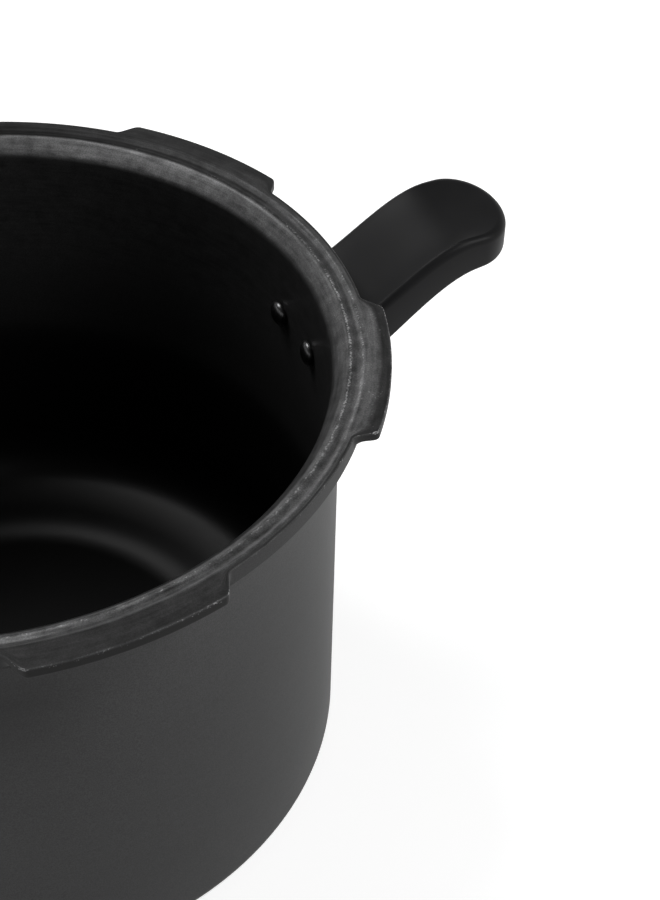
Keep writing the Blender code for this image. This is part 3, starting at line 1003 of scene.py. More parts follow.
    def _tones(self, line: Grid, start: int, outer: float) -> Grid:
        """The finish's grey level along one section of the pot.

        Args:
            line: The section.
            start: The first row of the rim's outer face.
            outer: The level of that face.

        Returns:
            The level, row by row.
        """
        rows = np.arange(len(line))
        drop = (self.top - line[:, 1]) / MM
        lip = np.interp(line[:, 0] / self.rim_radius, LIP_SHARES, LIP_TONES)
        # The inner wall and floor darken with depth down to near black: painted shade.
        levels = (self.inner_tone, 0.8 * self.inner_tone, 0.003, 0.001)
        painted_depth_shade = np.interp(drop, (8.0, 40.0, 90.0, 150.0), levels)
        lip += (painted_depth_shade - lip) * np.clip((drop - 4.6) / 2.0, 0, 1)
        changes = (FACE_ROWS - 1, FACE_ROWS + 5, FACE_ROWS + 10)
        edge = np.interp(rows - start, changes, (outer, self.corner_tone, self.flat))
        tone = np.where(rows < start, self.wall_tone, np.where(rows < start + EDGE_ROWS, edge, lip))
        tone = np.where((rows >= start - 6) & (rows < start), self.neck_tone, tone)
        return np.convolve(tone, (0.25, 0.5, 0.25), "same")

    def _marks(self, plain: Grid, lug: Grid, share: Grid, degrees: Grid, start: int) -> dict[str, Grid]:
        """Where the finish is dark, shiny, streaked or rubbed, and where light and shade are painted into it.

        Args:
            plain: The section between lugs.
            lug: The section through a lug.
            share: How far each angle is on a lug.
            degrees: The angles.
            start: The first row of the rim's outer face.

        Returns:
            The shader's numbers by row and angle.
        """
        zones = Zones(plain[:, :1] / self.rim_radius, (self.top - plain[:, 1:]) / MM, degrees, start)
        far, lip, inside = zones.far, zones.lip, zones.inside
        sections = zip((plain, lug), self.face_tones)
        tones = [self._tones(line, start, outer)[:, None] for line, outer in sections]
        streak = 0.9 * np.maximum(zones.top_face, zones.beads) + 0.5 * lip + 0.08 * zones.outside
        on_edge = np.where(zones.outside, 0.25, np.where(zones.rows < start + EDGE_ROWS, 0.12, 0.0))
        marks = {
            "tone": self._shaded(lerp(tones[0], tones[1], share), zones),
            "sheen": on_edge + 0.75 * lip * (1 - 0.9 * far),
            "polish": 0.65 * lip * (1 - far) + 0.60 * (inside & (zones.drop > 7.0)),
            "wear": self._wear(zones, share, self.lugs.corner_wear(degrees)[None, :] * share),
            "streak": streak + 0.5 * inside * band(zones.drop, 9.0, 30.0, 30.0),
        }
        whole = np.ones((len(plain), len(degrees)))
        return {name: np.clip(values * whole, 0.0, 1.0) for name, values in marks.items()}

    @staticmethod
    def _shaded(tone: Grid, zones: Zones) -> Grid:
        """Lighten the rubbed side's rim top, and paint light, shade and shadow into the grey levels round the
        pot.

        Args:
            tone: The levels by row and angle.
            zones: The parts of the pot.

        Returns:
            The changed levels.
        """
        bearing, drop, lip = zones.bearing, zones.drop, zones.lip
        inward = np.clip((zones.rows - zones.corner - CORNER_ROWS - 3) / 4.0, 0.05, 1.0)
        # Painted light on the near side's beads, and painted shade on the far side's.
        painted_bead_light_and_shade = (0.5 - 1.42 * zones.far) * zones.beads
        # A painted highlight on the lip beside the beads, on one side of the pot.
        painted_lip_highlight = 0.8 * bell(bearing, *PAINTED_HIGHLIGHT_LIP) * lip * (1 - zones.beads)
        tone = (tone + 0.070 * zones.rubbed * zones.top_face * inward) * (1 + painted_bead_light_and_shade + painted_lip_highlight)
        # Painted shade on the lip on the near and far sides, and along the far side's crest.
        dull_and_painted_shade = 0.35 * bell(bearing, *PAINTED_SHADE_NEAR_LIP) + 0.65 * bell(bearing, *PAINTED_SHADE_FAR_LIP)
        dull_and_painted_shade = dull_and_painted_shade + 0.75 * zones.far * bell(zones.radius, *LIP_FOLD)
        tone = tone * (1 - np.minimum(dull_and_painted_shade, 0.9) * lip)
        # A painted shadow of a lug on the outer wall below it.
        painted_lug_shadow = bell(bearing, *PAINTED_SHADOW_SIDE) * bell(drop, *PAINTED_SHADOW_DROP) * zones.outside
        # Painted light on the outer wall just under the rim, and the lug's painted shadow below it.
        tone = tone * (1 + 0.45 * bell(drop, *PAINTED_LIGHT_UNDER_RIM) * zones.outside) * (1 - 0.45 * painted_lug_shadow)
        # Painted light on one side of the inner wall, fading out at the top and below about 76 mm, with a
        # lighter ring at 75 mm.
        pale = np.clip((76.0 - drop) / 12.0 + 0.5, 0, 1) + 0.5 * bell(drop, *INNER_RING)
        pale = pale * zones.inside * np.clip(drop / 45.0, 0, 1) * bell(bearing, *PAINTED_LIGHT_INNER_SIDE)
        return tone + 0.010 * pale

    @staticmethod
    def _wear(zones: Zones, share: Grid, ends: Grid) -> Grid:
        """How far the beads, the rim's top and its corner have rubbed, with painted shade on the far side's
        crest and ridge.

        Args:
            zones: The parts of the pot.
            share: How far each angle is on a lug.
            ends: 1 at the lugs' end corners.

        Returns:
            The wear by row and angle.
        """
        rubbed, far = zones.rubbed, zones.far
        # The crest and ridge are less bright on the far side: painted shade, not wear.
        wear = (0.24 + 0.30 * rubbed - 0.24 * far) * zones.crest
        wear = wear + (0.28 * rubbed - 0.1 * far) * zones.ridge
        wear = wear + 0.05 * rubbed * (zones.lip + zones.top_face)
        wear = wear + (0.14 + 0.16 * rubbed) * zones.outer_edge * (0.3 + 0.7 * share)
        return wear + (0.40 + 0.20 * rubbed) * ends * zones.outer_edge

    def build(self) -> None:
        """Make the pot in one piece."""
        outside = np.array(self._outside())
        plain_edge, lug_edge = self._edges()
        inside = np.array(self._inside())
        plain = np.concatenate([outside, plain_edge, inside])
        lug = np.concatenate([outside, lug_edge, inside])
        degrees = self.lugs.angles()
        share = self.lugs.shares(degrees)[None, :]
        radii, heights = (lerp(plain[:, [axis]], lug[:, [axis]], share) for axis in (0, 1))
        marks = self._marks(plain, lug, share, degrees, len(outside))
        piece = swept("pot_shell", radii, heights, np.radians(degrees), ANODISED, marks=marks)
        self.fit(piece, Slot.ANODISED, ["pot_body"])


# ------------------------------------------------------------------ grips


@dataclass
class Grip:
    """A moulded handle that runs out along +X, with soft edges, a dished top and a scooped underside.

    Attributes:
        name: The piece's name.
        root: Where it starts, from the pot's or lid's axis.
        straight_end: Where its rounded end begins.
        tip: Where it ends.
        half_width: Half its width, by distance from the axis.
        high: Its top's height, by distance from the axis.
        low: Its underside's height, by distance from the axis.
        top_edge: The radius along its upper edges.
        low_edge: The radius along its lower edges.
        dish: How far the middle of its top is sunk.
        scoop: How far its underside is hollowed.
    """

    name: str
    root: float
    straight_end: float
    tip: float
    half_width: Callable[[float], float]
    high: Callable[[float], float]
    low: Callable[[float], float]
    top_edge: float = 2.4 * MM
    low_edge: float = 1.6 * MM
    dish: float = 0.9 * MM
    scoop: float = 3.0 * MM

    def _stations(self) -> list[Point]:
        """Distance and half width along the handle, root first, round its elliptical end."""
        straight = np.linspace(self.root, self.straight_end, 56)[:-1]
        stations = [(float(x), self.half_width(float(x))) for x in straight]
        length = self.tip - self.straight_end
        widest = self.half_width(self.straight_end)
        for step in range(29):
            angle = math.radians(87.0 * step / 28)
            stations.append((self.straight_end + length * math.sin(angle), widest * math.cos(angle)))
        return stations

    def _layers(self) -> list[tuple[float, float, bool]]:
        """Rounded lower and upper edges as (inset, lift, whether the lift is from the top)."""
        quarter = [math.radians(90.0 * step / 6) for step in range(7)]
        low = [(self.low_edge * (1 - math.sin(a)), self.low_edge * (1 - math.cos(a)), False) for a in quarter]
        top = [(self.top_edge * (1 - math.cos(a)), -self.top_edge * (1 - math.sin(a)), True) for a in quarter]
        return low + top

    def _sink(self, x: float, across: float, upper: bool) -> float:
        """How far a point of the top or underside leaves the plain surface.

        Args:
            x: Its distance from the axis.
            across: Its place across the handle, from -1 to 1.
            upper: Whether it is on the top.

        Returns:
            The rise in metres.
        """
        from_root = smoothstep((x - self.root) / (9 * MM))
        if upper:
            from_tip = smoothstep((self.tip - x) / (self.tip - self.straight_end + 8 * MM))
            return -self.dish * (1 - across**4) * from_tip * from_root
        from_tip = smoothstep((self.tip - x - 5 * MM) / (9 * MM))
        return self.scoop * smoothstep((0.84 - abs(across)) / 0.2) * from_tip * from_root

    def build(self, finish: Finish) -> bpy.types.Object:
        """Make the handle, still along +X.

        Args:
            finish: Its finish.

        Returns:
            The piece.
        """
        stations = self._stations()
        widest = max(half for _, half in stations)
        columns = [math.sin(math.radians(angle)) for angle in range(-90, 91, 6)]
        last = len(stations) - 1
        bm = bmesh.new()
        rims: list[dict[tuple[int, int], bmesh.types.BMVert]] = []
        loops = []
        for inset, lift, upper in self._layers():
            rim = {}
            keys = [(row, len(columns) - 1) for row in range(last + 1)]
            keys += [(last, column) for column in range(len(columns) - 2, -1, -1)]
            keys += [(row, 0) for row in range(last - 1, -1, -1)]
            keys += [(0, column) for column in range(1, len(columns) - 1)]
            for row, column in keys:
                x, half = stations[row]
                height = (self.high if upper else self.low)(x) + lift
                along = x - inset * (x - self.root) / (self.tip - self.root)
                across = half * (1 - inset / widest) * columns[column]
                rim[row, column] = bm.verts.new((along, across, height))
            rims.append(rim)
            loops.append([rim[key] for key in keys])
        for lower_loop, upper_loop in zip(loops, loops[1:]):
            for here in range(len(lower_loop)):
                after = (here + 1) % len(lower_loop)
                bm.faces.new([lower_loop[here], lower_loop[after], upper_loop[after], upper_loop[here]])
        for rim, upper in ((rims[0], False), (rims[-1], True)):
            for row in range(1, last):
                left, right = rim[row, len(columns) - 1].co, rim[row, 0].co
                for column in range(1, len(columns) - 1):
                    spot = right.lerp(left, (columns[column] + 1) / 2)
                    spot.z += self._sink(stations[row][0], columns[column], upper)
                    rim[row, column] = bm.verts.new(spot)
            for row in range(last):
                for column in range(len(columns) - 1):
                    corners = [(row, column), (row, column + 1), (row + 1, column + 1), (row + 1, column)]
                    bm.faces.new([rim[corner] for corner in corners])
        return finished_object(self.name, meshed(self.name, bm), finish, 50.0)


# ------------------------------------------------------------------ riveted handles


TURNED_AROUND = Matrix.Rotation(math.pi, 4, "Z")


@dataclass
class RivetedHandle(SubAssembly):
    """A grip on a bracket that two rivets hold to the pot's wall.

    Attributes:
        prefix: The start of its nodes' names.
        grip: The moulded grip.
        turn: Its turn about the pot's axis.
        wall_inner: The wall's inner radius.
        rivet_drop: How far below the rim its rivets are.
        rivet_angle: The angle from its middle to each rivet, in degrees.
        rivet_head: The radius of a rivet's head.
        rivet_rise: How far the head stands out.
        shank: The radius of a rivet's shank.
        slope: The tongue's slope in degrees.
        tongue_start: Where the tongue leaves the plate.
        tongue_half: Half the tongue's width, and the clearance round it.
        tongue_thick: Half the tongue's thickness, and the clearance round it.
        screw_along: Where the screw is along the tongue.
    """

    prefix: str
    grip: Grip
    turn: Matrix
    wall_inner: float = 106.0 * MM
    rivet_drop: float = 30.0 * MM
    rivet_angle: float = 5.9
    rivet_head: float = 4.1 * MM
    rivet_rise: float = 2.5 * MM
    shank: float = 1.8 * MM
    slope: float = 31.0
    tongue_start: float = 109.5 * MM
    tongue_half: float = 5.8 * MM
    tongue_thick: float = 1.3 * MM
    screw_along: float = 17.0 * MM
    body: Body = Body.POT

    def __post_init__(self) -> None:
        """Find the rivets' height and the tongue's frame."""
        self.rivet_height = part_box("pot_body")[1][2] - self.rivet_drop
        place = Matrix.Translation((self.tongue_start, 0, self.rivet_height - 1.0 * MM))
        self.tongue = place @ Matrix.Rotation(-math.radians(self.slope), 4, "Y")

    def build(self) -> None:
        """Make the grip, the rivets, the screw, and dress the bracket."""
        self._build_grip()
        self._build_rivets()
        self._build_screw()
        dress(f"{self.prefix}_bracket", COATED_STEEL)

    def _build_grip(self) -> None:
        """Make the grip and cut the tongue's slot and the screw's well."""
        grip = self.grip.build(PHENOLIC)
        half, thick = self.tongue_half, self.tongue_thick
        slot = box_mesh((-10 * MM, -half, -thick), (26.6 * MM, half, thick))
        slot.data.transform(self.tongue)
        well_profile = in_mm([(0, -24), (4, -24), (4, -4.8), (2.2, -4.8), (2.2, 5), (0, 5)])
        well = turned("tool", well_profile, PHENOLIC, 40)
        well.data.transform(self.tongue @ Matrix.Translation((self.screw_along, 0, 0)))
        carve(grip, [slot, well])
        self.fit(grip, Slot.PHENOLIC, [f"{self.prefix}_handle"], self.turn)

    def _build_rivets(self) -> None:
        """Make two domed rivets, whose heads are inside the pot."""
        head, rise = self.rivet_head, self.rivet_rise
        tail_start = -5.8 * MM
        tail = rounded(
            [(0, tail_start - 1.5 * MM), (3.4 * MM, tail_start - 1.4 * MM), (3.7 * MM, tail_start)], 0.5 * MM
        )
        dome = [(head - 0.05 * MM, 0.02 * MM)]
        dome += arc((0, 0.35 * MM), (head, rise - 0.35 * MM), 0.0, 90.0, 18)
        profile = tail + [(self.shank, tail_start), (self.shank, 0)] + dome[:-1] + [(0, rise)]
        for number, side in enumerate((-1, 1), 1):
            lean = Matrix.Rotation(math.radians(side * self.rivet_angle), 4, "Z")
            place = Matrix.Translation((self.wall_inner - 0.6 * MM, 0, self.rivet_height))
            across = Matrix.Rotation(math.radians(-90), 4, "Y")
            name = f"{self.prefix}_rivet_{number}"
            rivet = turned(f"{name}_domed", profile, RIVET_METAL, 64)
            self.fit(rivet, Slot.RIVET, [name], self.turn @ lean @ place @ across)

    def _build_screw(self) -> None:
        """Make the pan-headed screw that comes up through the grip into the tongue."""
        place = self.turn @ self.tongue @ Matrix.Translation((self.screw_along, 0, 0))
        screw = pan_screw(f"{self.prefix}_cross_screw", 9.8 * MM)
        screw.data.transform(Matrix.Translation((0, 0, -5.2 * MM)) @ Matrix.Rotation(math.pi, 4, "X"))
        self.fit(screw, Slot.SCREW, [f"{self.prefix}_screw"], place)


def pan_screw(name: str, length: float) -> bpy.types.Object:
    """A screw with its head's underside at the origin and its head upwards.

    Args:
        name: The piece's name.
        length: The shank's length.

    Returns:
        The piece.
    """
    head, rise, shank = 3.4 * MM, 2.0 * MM, 1.8 * MM
    shaft = rounded([(0, -length), (shank * 0.6, -length), (shank, -length + 1 * MM), (shank, 0)], 0.2 * MM)
    dome = [(head, 0.2 * MM), (head, rise * 0.55), (head * 0.7, rise), (0, rise)]
    dome = [(head, 0.0)] + rounded(dome, 0.9 * MM)
    screw = turned(name, shaft + dome, PLATED_STEEL, 48)
    arm, slim = 1.7 * MM, 0.35 * MM
    bars = [(arm, slim), (slim, arm)]
    carve(screw, [box_mesh((-x, -y, 1.0 * MM), (x, y, 3 * MM)) for x, y in bars])
    return screw


def dress(node: str, finish: Finish) -> None:
    """Give a node of the model its finish, and slightly broken edges.

    Args:
        node: The node's name.
        finish: Its finish.
    """
    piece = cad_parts[node]
    piece.data.materials.clear()
    piece.data.materials.append(finish.material())
    bevel = piece.modifiers.new("broken_edges", "BEVEL")
    bevel.width = 0.25 * MM
    bevel.segments = 2
    bevel.limit_method = "ANGLE"
    bevel.angle_limit = math.radians(50)
    bevel.harden_normals = True
    log.info("%s: dressed as %s", node, finish.name)


def long_half_width(x: float) -> float:
    """Half width of a long handle, which has a slight waist."""
    along = min(max((x - 0.13) / 0.14, 0.0), 1.0)
    return 14.0 * MM - 1.5 * MM * math.sin(math.pi * along)


def helper_grip(top: float, rim: float) -> Grip:
    """The short helper handle, which climbs from below the rim to just over it.

    Args:
        top: The rim's height.
        rim: The rim's radius.

    Returns:
        The grip.
    """

    def high(x: float) -> float:
        """Height of its S-shaped top."""
        return top + rim * (0.191 * smoothstep((x / rim - 0.92) / 0.44) - 0.175)

    def low(x: float) -> float:
        """Height of its underside."""
        return high(x) - rim * (0.150 - 0.134 * (x / rim - 1.0))

    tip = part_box("helper_handle")[1][0]
    return Grip("helper_grip", 113.5 * MM, tip - 13.2 * MM, tip, lambda x: 18.0 * MM, high, low)


def main_grip(top: float) -> Grip:
    """The long handle.

    Args:
        top: The rim's height.

    Returns:
        The grip.
    """

    def high(x: float) -> float:
        """Height of its top, which lies under the lid's handle."""
        return top - 21 * MM + 14 * MM * smoothstep((x - 0.118) / 0.022)

    def low(x: float) -> float:
        """Height of its underside."""
        return high(x) - 19 * MM + 2 * MM * smoothstep((x - 0.15) / 0.08)

    tip = -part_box("main_handle")[0][0]
    edge = 3.4 * MM
    span = (113.5 * MM, tip - 12 * MM, tip)
    return Grip("main_grip", *span, long_half_width, high, low, edge, edge, 0.5 * MM)


# ------------------------------------------------------------------ the lid


@dataclass
class Lid(SubAssembly):
    """The domed lid with its skirt and inward lugs, its long handle and its valves.

    Attributes:
        dome_top: The dome's height above the skirt's lower edge.
        skirt_outer: The skirt's outer radius.
        skirt_inner: The skirt's inner radius.
        lug_reach: How far a lug stands in.
        valve_radius: Where the side valves are.
        handle_tip: The handle's far end, from the lid's axis.
        strap_low: The underside of the handle's strap.
        strap_half: Half its width.
        strap_thick: Its thickness.
        lugs: Where the lugs are.
    """

    dome_top: float = 28.0 * MM
    skirt_outer: float = 126.8 * MM
    skirt_inner: float = 124.2 * MM
    lug_reach: float = 5.9 * MM
    valve_radius: float = 50.0 * MM
    handle_tip: float = 292.0 * MM
    strap_low: float = 26.6 * MM
    strap_half: float = 8.0 * MM
    strap_thick: float = 2.0 * MM
    lugs: LugRing = LugRing(root_half=13.8, tip_half=12.2)
    body: Body = Body.LID

    def __post_init__(self) -> None:
        """Find the lid's axis from the model."""
        low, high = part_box("gasket")
        self.axis = Vector(((low[0] + high[0]) / 2, (low[1] + high[1]) / 2, 0.0))
        self.place = Matrix.Translation(self.axis)

    def build(self) -> None:
        """Make the lid and everything on it."""
        self._build_shell()
        self._build_gasket()
        self._build_handle()
        self._build_rivets()
        self._build_vent()
        self._build_safety()
        self._build_indicator()
        dress("lid_bracket", COATED_STEEL)

    def side(self, way: int) -> Matrix:
        """The place of a side valve."""
        return self.place @ Matrix.Translation((0, way * self.valve_radius, 0))

    def _shell_profiles(self) -> tuple[Grid, Grid]:
        """The lid's section between lugs and through a lug, point for point."""
        skirt, inner, top = self.skirt_outer, self.skirt_inner, self.dome_top
        dome = [(0.0, top), (0.030, 27.6 * MM), (0.060, 26.2 * MM), (0.080, 24.0 * MM), (0.088, 21.5 * MM)]
        dome += [(0.094, 17.8 * MM), (0.099, 15.5 * MM), (0.110, 14.9 * MM)]
        corner = [(0.110, 14.9 * MM), (0.1218, 14.5 * MM), (0.1252, 13.8 * MM)]
        corner += [(skirt, 11.8 * MM), (skirt, 6.0 * MM)]
        under = [(0.110, 11.9 * MM), (0.0990, 12.2 * MM), (0.0925, 14.5 * MM), (0.0865, 18.3 * MM)]
        under += [(0.0790, 20.9 * MM), (0.0590, 23.2 * MM), (0.030, 24.6 * MM), (0.0, 25.0 * MM)]
        outside = rounded(dome, 60 * MM, steps=8)[:-1] + rounded(corner, 4.0 * MM, steps=6)
        inside = rounded([(inner, 9.0 * MM), (inner, 11.6 * MM), (0.110, 11.9 * MM)], 0.8 * MM, steps=5)[:-1]
        inside += rounded(under, 40 * MM, steps=8)
        foot = [(skirt, 5.9 * MM), (skirt, 0.0), (inner, 0.0), (inner, 8.9 * MM)]
        tip = inner - self.lug_reach
        lug = [(skirt, 5.9 * MM), (skirt, 0.0), (tip, 0.0), (tip, 2.8 * MM)]
        lug += [(inner, 3.2 * MM), (inner, 8.9 * MM)]
        plain_foot = resampled(rounded(foot, 0.5 * MM, steps=6), 90)
        lug_foot = resampled(rounded(lug, 0.6 * MM, steps=6), 90)
        plain = np.concatenate([outside, plain_foot, inside])
        return plain, np.concatenate([outside, lug_foot, inside])

    def _build_shell(self) -> None:
        """Make the shell and cut its holes and window."""
        plain, lug = self._shell_profiles()
        degrees = self.lugs.angles()
        share = self.lugs.shares(degrees)[None, :]
        radii, heights = (lerp(plain[:, [axis]], lug[:, [axis]], share) for axis in (0, 1))
        worn = [edge_wear(line, 0.5 * MM)[:, None] for line in (plain, lug)]
        wear = 0.35 * np.clip(lerp(worn[0], worn[1], share), 0, 1)
        whole = np.ones_like(radii)
        marks = {"wear": wear, "tone": 0.055 * whole, "sheen": 0.3 * whole, "streak": 0.2 * whole}
        shell = swept("lid_dome", radii, heights, np.radians(degrees), ANODISED, marks=marks)
        holes = [(5.3, 0.0, 0.0), (6.0, 0.0, 50.0), (5.5, 0.0, -50.0), (2.1, -66.0, 0.0), (2.1, -80.0, 0.0)]
        tools = [box_mesh((120 * MM, -14 * MM, 6.6 * MM), (130 * MM, 14 * MM, 10.6 * MM))]
        for radius, x, y in holes:
            rod = in_mm([(0, 12), (radius, 12), (radius, 35), (0, 35)])
            tool = turned("tool", rod, ANODISED, 48)
            tool.data.transform(Matrix.Translation((x * MM, y * MM, 0)))
            tools.append(tool)
        carve(shell, tools)
        self.fit(shell, Slot.ANODISED, ["lid_shell"], self.place)

    def _build_gasket(self) -> None:
        """Make the sealing ring, with a bead on its web and a soft lip."""
        web = [(123.6, 7.4), (123.6, 11.1), (101.0, 11.1), (99.6, 9.8)]
        lip = [(99.2, 3.6), (100.4, 3.4), (102.2, 6.6), (105.0, 7.4)]
        outline = rounded(in_mm(web + lip), 0.7 * MM, closed=True)
        gasket = turned("sealing_gasket", outline, GASKET_RUBBER, 180, ring=True)
        self.fit(gasket, Slot.GASKET, ["gasket"], self.place, Body.RING)

    def _build_handle(self) -> None:
        """Make the long grip and its screw, and cut the strap's slot and the screw's well."""

        def drop(x: float) -> float:
            """How far it has come down from the dome towards the pot's handle."""
            return smoothstep((x - 0.122) / 0.034)

        def high(x: float) -> float:
            """Height of its top."""
            return 36.5 * MM - 16.5 * MM * drop(x)

        def low(x: float) -> float:
            """Height of its underside."""
            return 17.8 * MM - 13.8 * MM * drop(x)

        tip = self.handle_tip
        edge = 3.4 * MM
        span = (96 * MM, tip - 12 * MM, tip)
        shape = Grip("lid_grip", *span, long_half_width, high, low, edge, edge, 0.5 * MM, 2.0 * MM)
        grip = shape.build(PHENOLIC)
        half = self.strap_half + 0.3 * MM
        low_side, high_side = self.strap_low - 0.3 * MM, self.strap_low + self.strap_thick + 0.3 * MM
        slot = box_mesh((80 * MM, -half, low_side), (124.5 * MM, half, high_side))
        well_profile = in_mm([(0, 21.5), (2.2, 21.5), (2.2, 33.5), (4, 33.5), (4, 50), (0, 50)])
        well = turned("tool", well_profile, PHENOLIC, 40)
        well.data.transform(Matrix.Translation((108 * MM, 0, 0)))
        carve(grip, [slot, well])
        self.fit(grip, Slot.PHENOLIC, ["lid_handle"], self.place @ TURNED_AROUND)
        screw = pan_screw("lid_cross_screw", 11.6 * MM)
        place = self.place @ Matrix.Translation((-108 * MM, 0, 33.8 * MM))
        self.fit(screw, Slot.SCREW, ["lid_screw"], place)

    def _build_rivets(self) -> None:
        """Make the two rivets that hold the strap to the dome."""
        top = self.strap_low + self.strap_thick + 0.3 * MM
        for number, (x, under) in enumerate(((-66.0, 21.2), (-80.0, 18.4)), 1):
            foot = under * MM
            tail = rounded([(0, foot - 1.8 * MM), (3.7 * MM, foot - 1.7 * MM), (4.0 * MM, foot)], 0.5 * MM)
            dome = arc((0, top), (4.1 * MM, 2.5 * MM), 0.0, 90.0, 16)
            profile = tail + [(1.8 * MM, foot), (1.8 * MM, top)] + dome[:-1] + [(0, top + 2.5 * MM)]
            rivet = turned(f"lid_rivet_{number}_domed", profile, RIVET_METAL, 64)
            place = self.place @ Matrix.Translation((x * MM, 0, 0))
            self.fit(rivet, Slot.RIVET, [f"lid_rivet_{number}"], place)

    def _build_vent(self) -> None:
        """Make the hollow vent pipe with its hexagon, and the nut under the lid."""
        low, high, bore = 28.3 * MM, 32.3 * MM, 1.3 * MM
        below = rounded([(bore, 16.5 * MM), (5.0 * MM, 16.5 * MM), (5.0 * MM, low)], 0.3 * MM)
        above = [(4.0 * MM, high), (4.0 * MM, 33.2 * MM)]
        above += rounded([(3.7 * MM, 33.6 * MM), (3.7 * MM, 50.0 * MM), (4.0 * MM, 52.4 * MM)], 0.3 * MM)
        above += rounded([(4.0 * MM, 52.8 * MM), (2.6 * MM, 54.5 * MM), (bore, 54.5 * MM)], 0.3 * MM)
        pipe = hexagonal("vent_pipe_turned", 14 * MM, low, high, BRASS, below, above)
        self.fit(pipe, Slot.BRASS, ["vent_pipe"], self.place)
        nut = hexagonal("vent_nut_turned", 17 * MM, 19.0 * MM, 24.6 * MM, BRASS, bore=5.3 * MM)
        self.fit(nut, Slot.BRASS, ["vent_nut"], self.place)

    def _build_safety(self) -> None:
        """Make the fusible plug, its core and its nut."""
        low, high, bore = 27.4 * MM, 31.4 * MM, 2.8 * MM
        below = rounded([(bore, 15.0 * MM), (5.7 * MM, 15.0 * MM), (5.7 * MM, low)], 0.3 * MM)
        crown = [(5.5 * MM, high), (5.5 * MM, 33.4 * MM), (4.5 * MM, 34.4 * MM), (bore, 34.4 * MM)]
        above = rounded(crown, 0.4 * MM)
        plug = hexagonal("safety_plug_turned", 14 * MM, low, high, BRASS, below, above)
        self.fit(plug, Slot.BRASS, ["safety_plug"], self.side(1))
        core_profile = rounded(in_mm([(0, 16.0), (2.5, 16.0), (2.5, 33.5), (1.6, 34.1)]), 0.3 * MM)
        core = turned("safety_core_cast", core_profile + [(0, 33.8 * MM)], ALLOY, 48)
        self.fit(core, Slot.SOLDER, ["safety_core"], self.side(1))
        nut = hexagonal("safety_nut_turned", 17 * MM, 17.2 * MM, 23.0 * MM, BRASS, bore=6.0 * MM)
        self.fit(nut, Slot.BRASS, ["safety_nut"], self.side(1))

    def _build_indicator(self) -> None:
        """Make the pressure indicator: its silicone grommet, and the pin that rises in it."""
        outer = [(2.9, 20.0), (7.5, 20.0), (7.5, 23.0), (5.1, 23.0)]
        upper = [(5.1, 27.4), (8.0, 27.4), (7.6, 29.2), (2.9, 29.4)]
        outline = rounded(in_mm(outer + upper), 0.6 * MM, closed=True)
        grommet = turned("indicator_grommet_moulded", outline, SILICONE, 64, ring=True)
        self.fit(grommet, Slot.GROMMET, ["indicator_grommet"], self.side(-1))
        stem = [(0, 13.8), (4.4, 13.8), (4.4, 15.0), (2.5, 15.0), (2.5, 29.7)]
        head = [(4.2, 29.7), (4.2, 31.2), (3.4, 31.9), (0, 32.1)]
        line = rounded(in_mm(stem + head), 0.35 * MM)
        pin = turned("indicator_pin_turned", line, BRIGHT_PIN, 48)
        self.fit(pin, Slot.PIN, ["indicator_pin"], self.side(-1), Body.INDICATOR)


def hexagonal(
    name: str,
    across: float,
    low: float,
    high: float,
    finish: Finish,
    below: Profile = (),
    above: Profile = (),
    bore: float = 0.0,
) -> bpy.types.Object:
    """A turned fitting round a hole, with a chamfered hexagon.

    Args:
        name: The piece's name.
        across: The hexagon's size across its flats.
        low: The hexagon's lower face.
        high: Its upper face.
        finish: The piece's finish.
        below: The profile under the hexagon, bore first.
        above: The profile over it, bore last.
        bore: The radius of a plain nut's bore.

    Returns:
        The piece.
    """
    segments = 96
    angles = np.arange(segments) * math.tau / segments
    off_flat = (angles + math.pi / 6) % (math.pi / 3) - math.pi / 6
    hexagon = across / 2 / np.cos(off_flat)
    face = 0.94 * across / 2
    fall = (hexagon - face) * 0.5
    plain = np.ones(segments)
    first = [(radius * plain, height * plain) for radius, height in below or [(bore, low)]]
    last = [(radius * plain, height * plain) for radius, height in above or [(bore, high)]]
    middle = [(face * plain, low * plain), (hexagon, low + fall)]
    middle += [(hexagon, high - fall), (face * plain, high * plain)]
    rows = first + middle + last
    radii = np.stack([row[0] for row in rows])
    heights = np.stack([row[1] for row in rows])
    return swept(name, radii, heights, angles, finish, ring=True)


# ------------------------------------------------------------------ the pressure weight


@dataclass
class PressureWeight(SubAssembly):
    """The lift-off weight that rests on the vent pipe, and its heat-proof cap.

    Attributes:
        radius: The weight's radius.
        grooves: Heights of the rings cut round it.
    """

    radius: float = 14.0 * MM
    grooves: tuple[float, ...] = (45.0 * MM, 49.5 * MM, 54.0 * MM)
    body: Body = Body.WEIGHT

    def __post_init__(self) -> None:
        """Find the weight's axis from the model."""
        low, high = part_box("weight_body")
        self.place = Matrix.Translation(((low[0] + high[0]) / 2, (low[1] + high[1]) / 2, 0.0))

    def build(self) -> None:
        """Make the weight and its cap."""
        radius = self.radius
        bore = in_mm([(0, 54.8), (4.6, 54.8), (4.6, 36.5), (12.0, 36.5)])
        wall = [(radius, 38.5 * MM)]
        for height in self.grooves:
            wall += [(radius, height - 0.6 * MM), (radius - 0.8 * MM, height - 0.3 * MM)]
            wall += [(radius - 0.8 * MM, height + 0.3 * MM), (radius, height + 0.6 * MM)]
        crown = [(radius, 60.0 * MM), *in_mm([(12.5, 62.2), (6.0, 62.2), (6.0, 70.0), (0, 70.0)])]
        line = rounded(bore + wall + crown, 0.4 * MM, steps=3)
        self.fit(turned("weight_turned", line, STAINLESS, 96), Slot.WEIGHT, ["weight_body"], self.place)
        socket = [(0, 70.4), (6.3, 70.4), (6.3, 62.6), (14.0, 62.6)]
        knob = [(15.3, 64.0), (15.8, 69.0), (15.0, 73.5), (11.0, 76.0), (0, 76.8)]
        line = rounded(in_mm(socket + knob), 1.5 * MM, steps=6)
        self.fit(turned("weight_cap_moulded", line, CAP_PHENOLIC, 96), Slot.CAP, ["weight_cap"], self.place)


# ------------------------------------------------------------------ stage


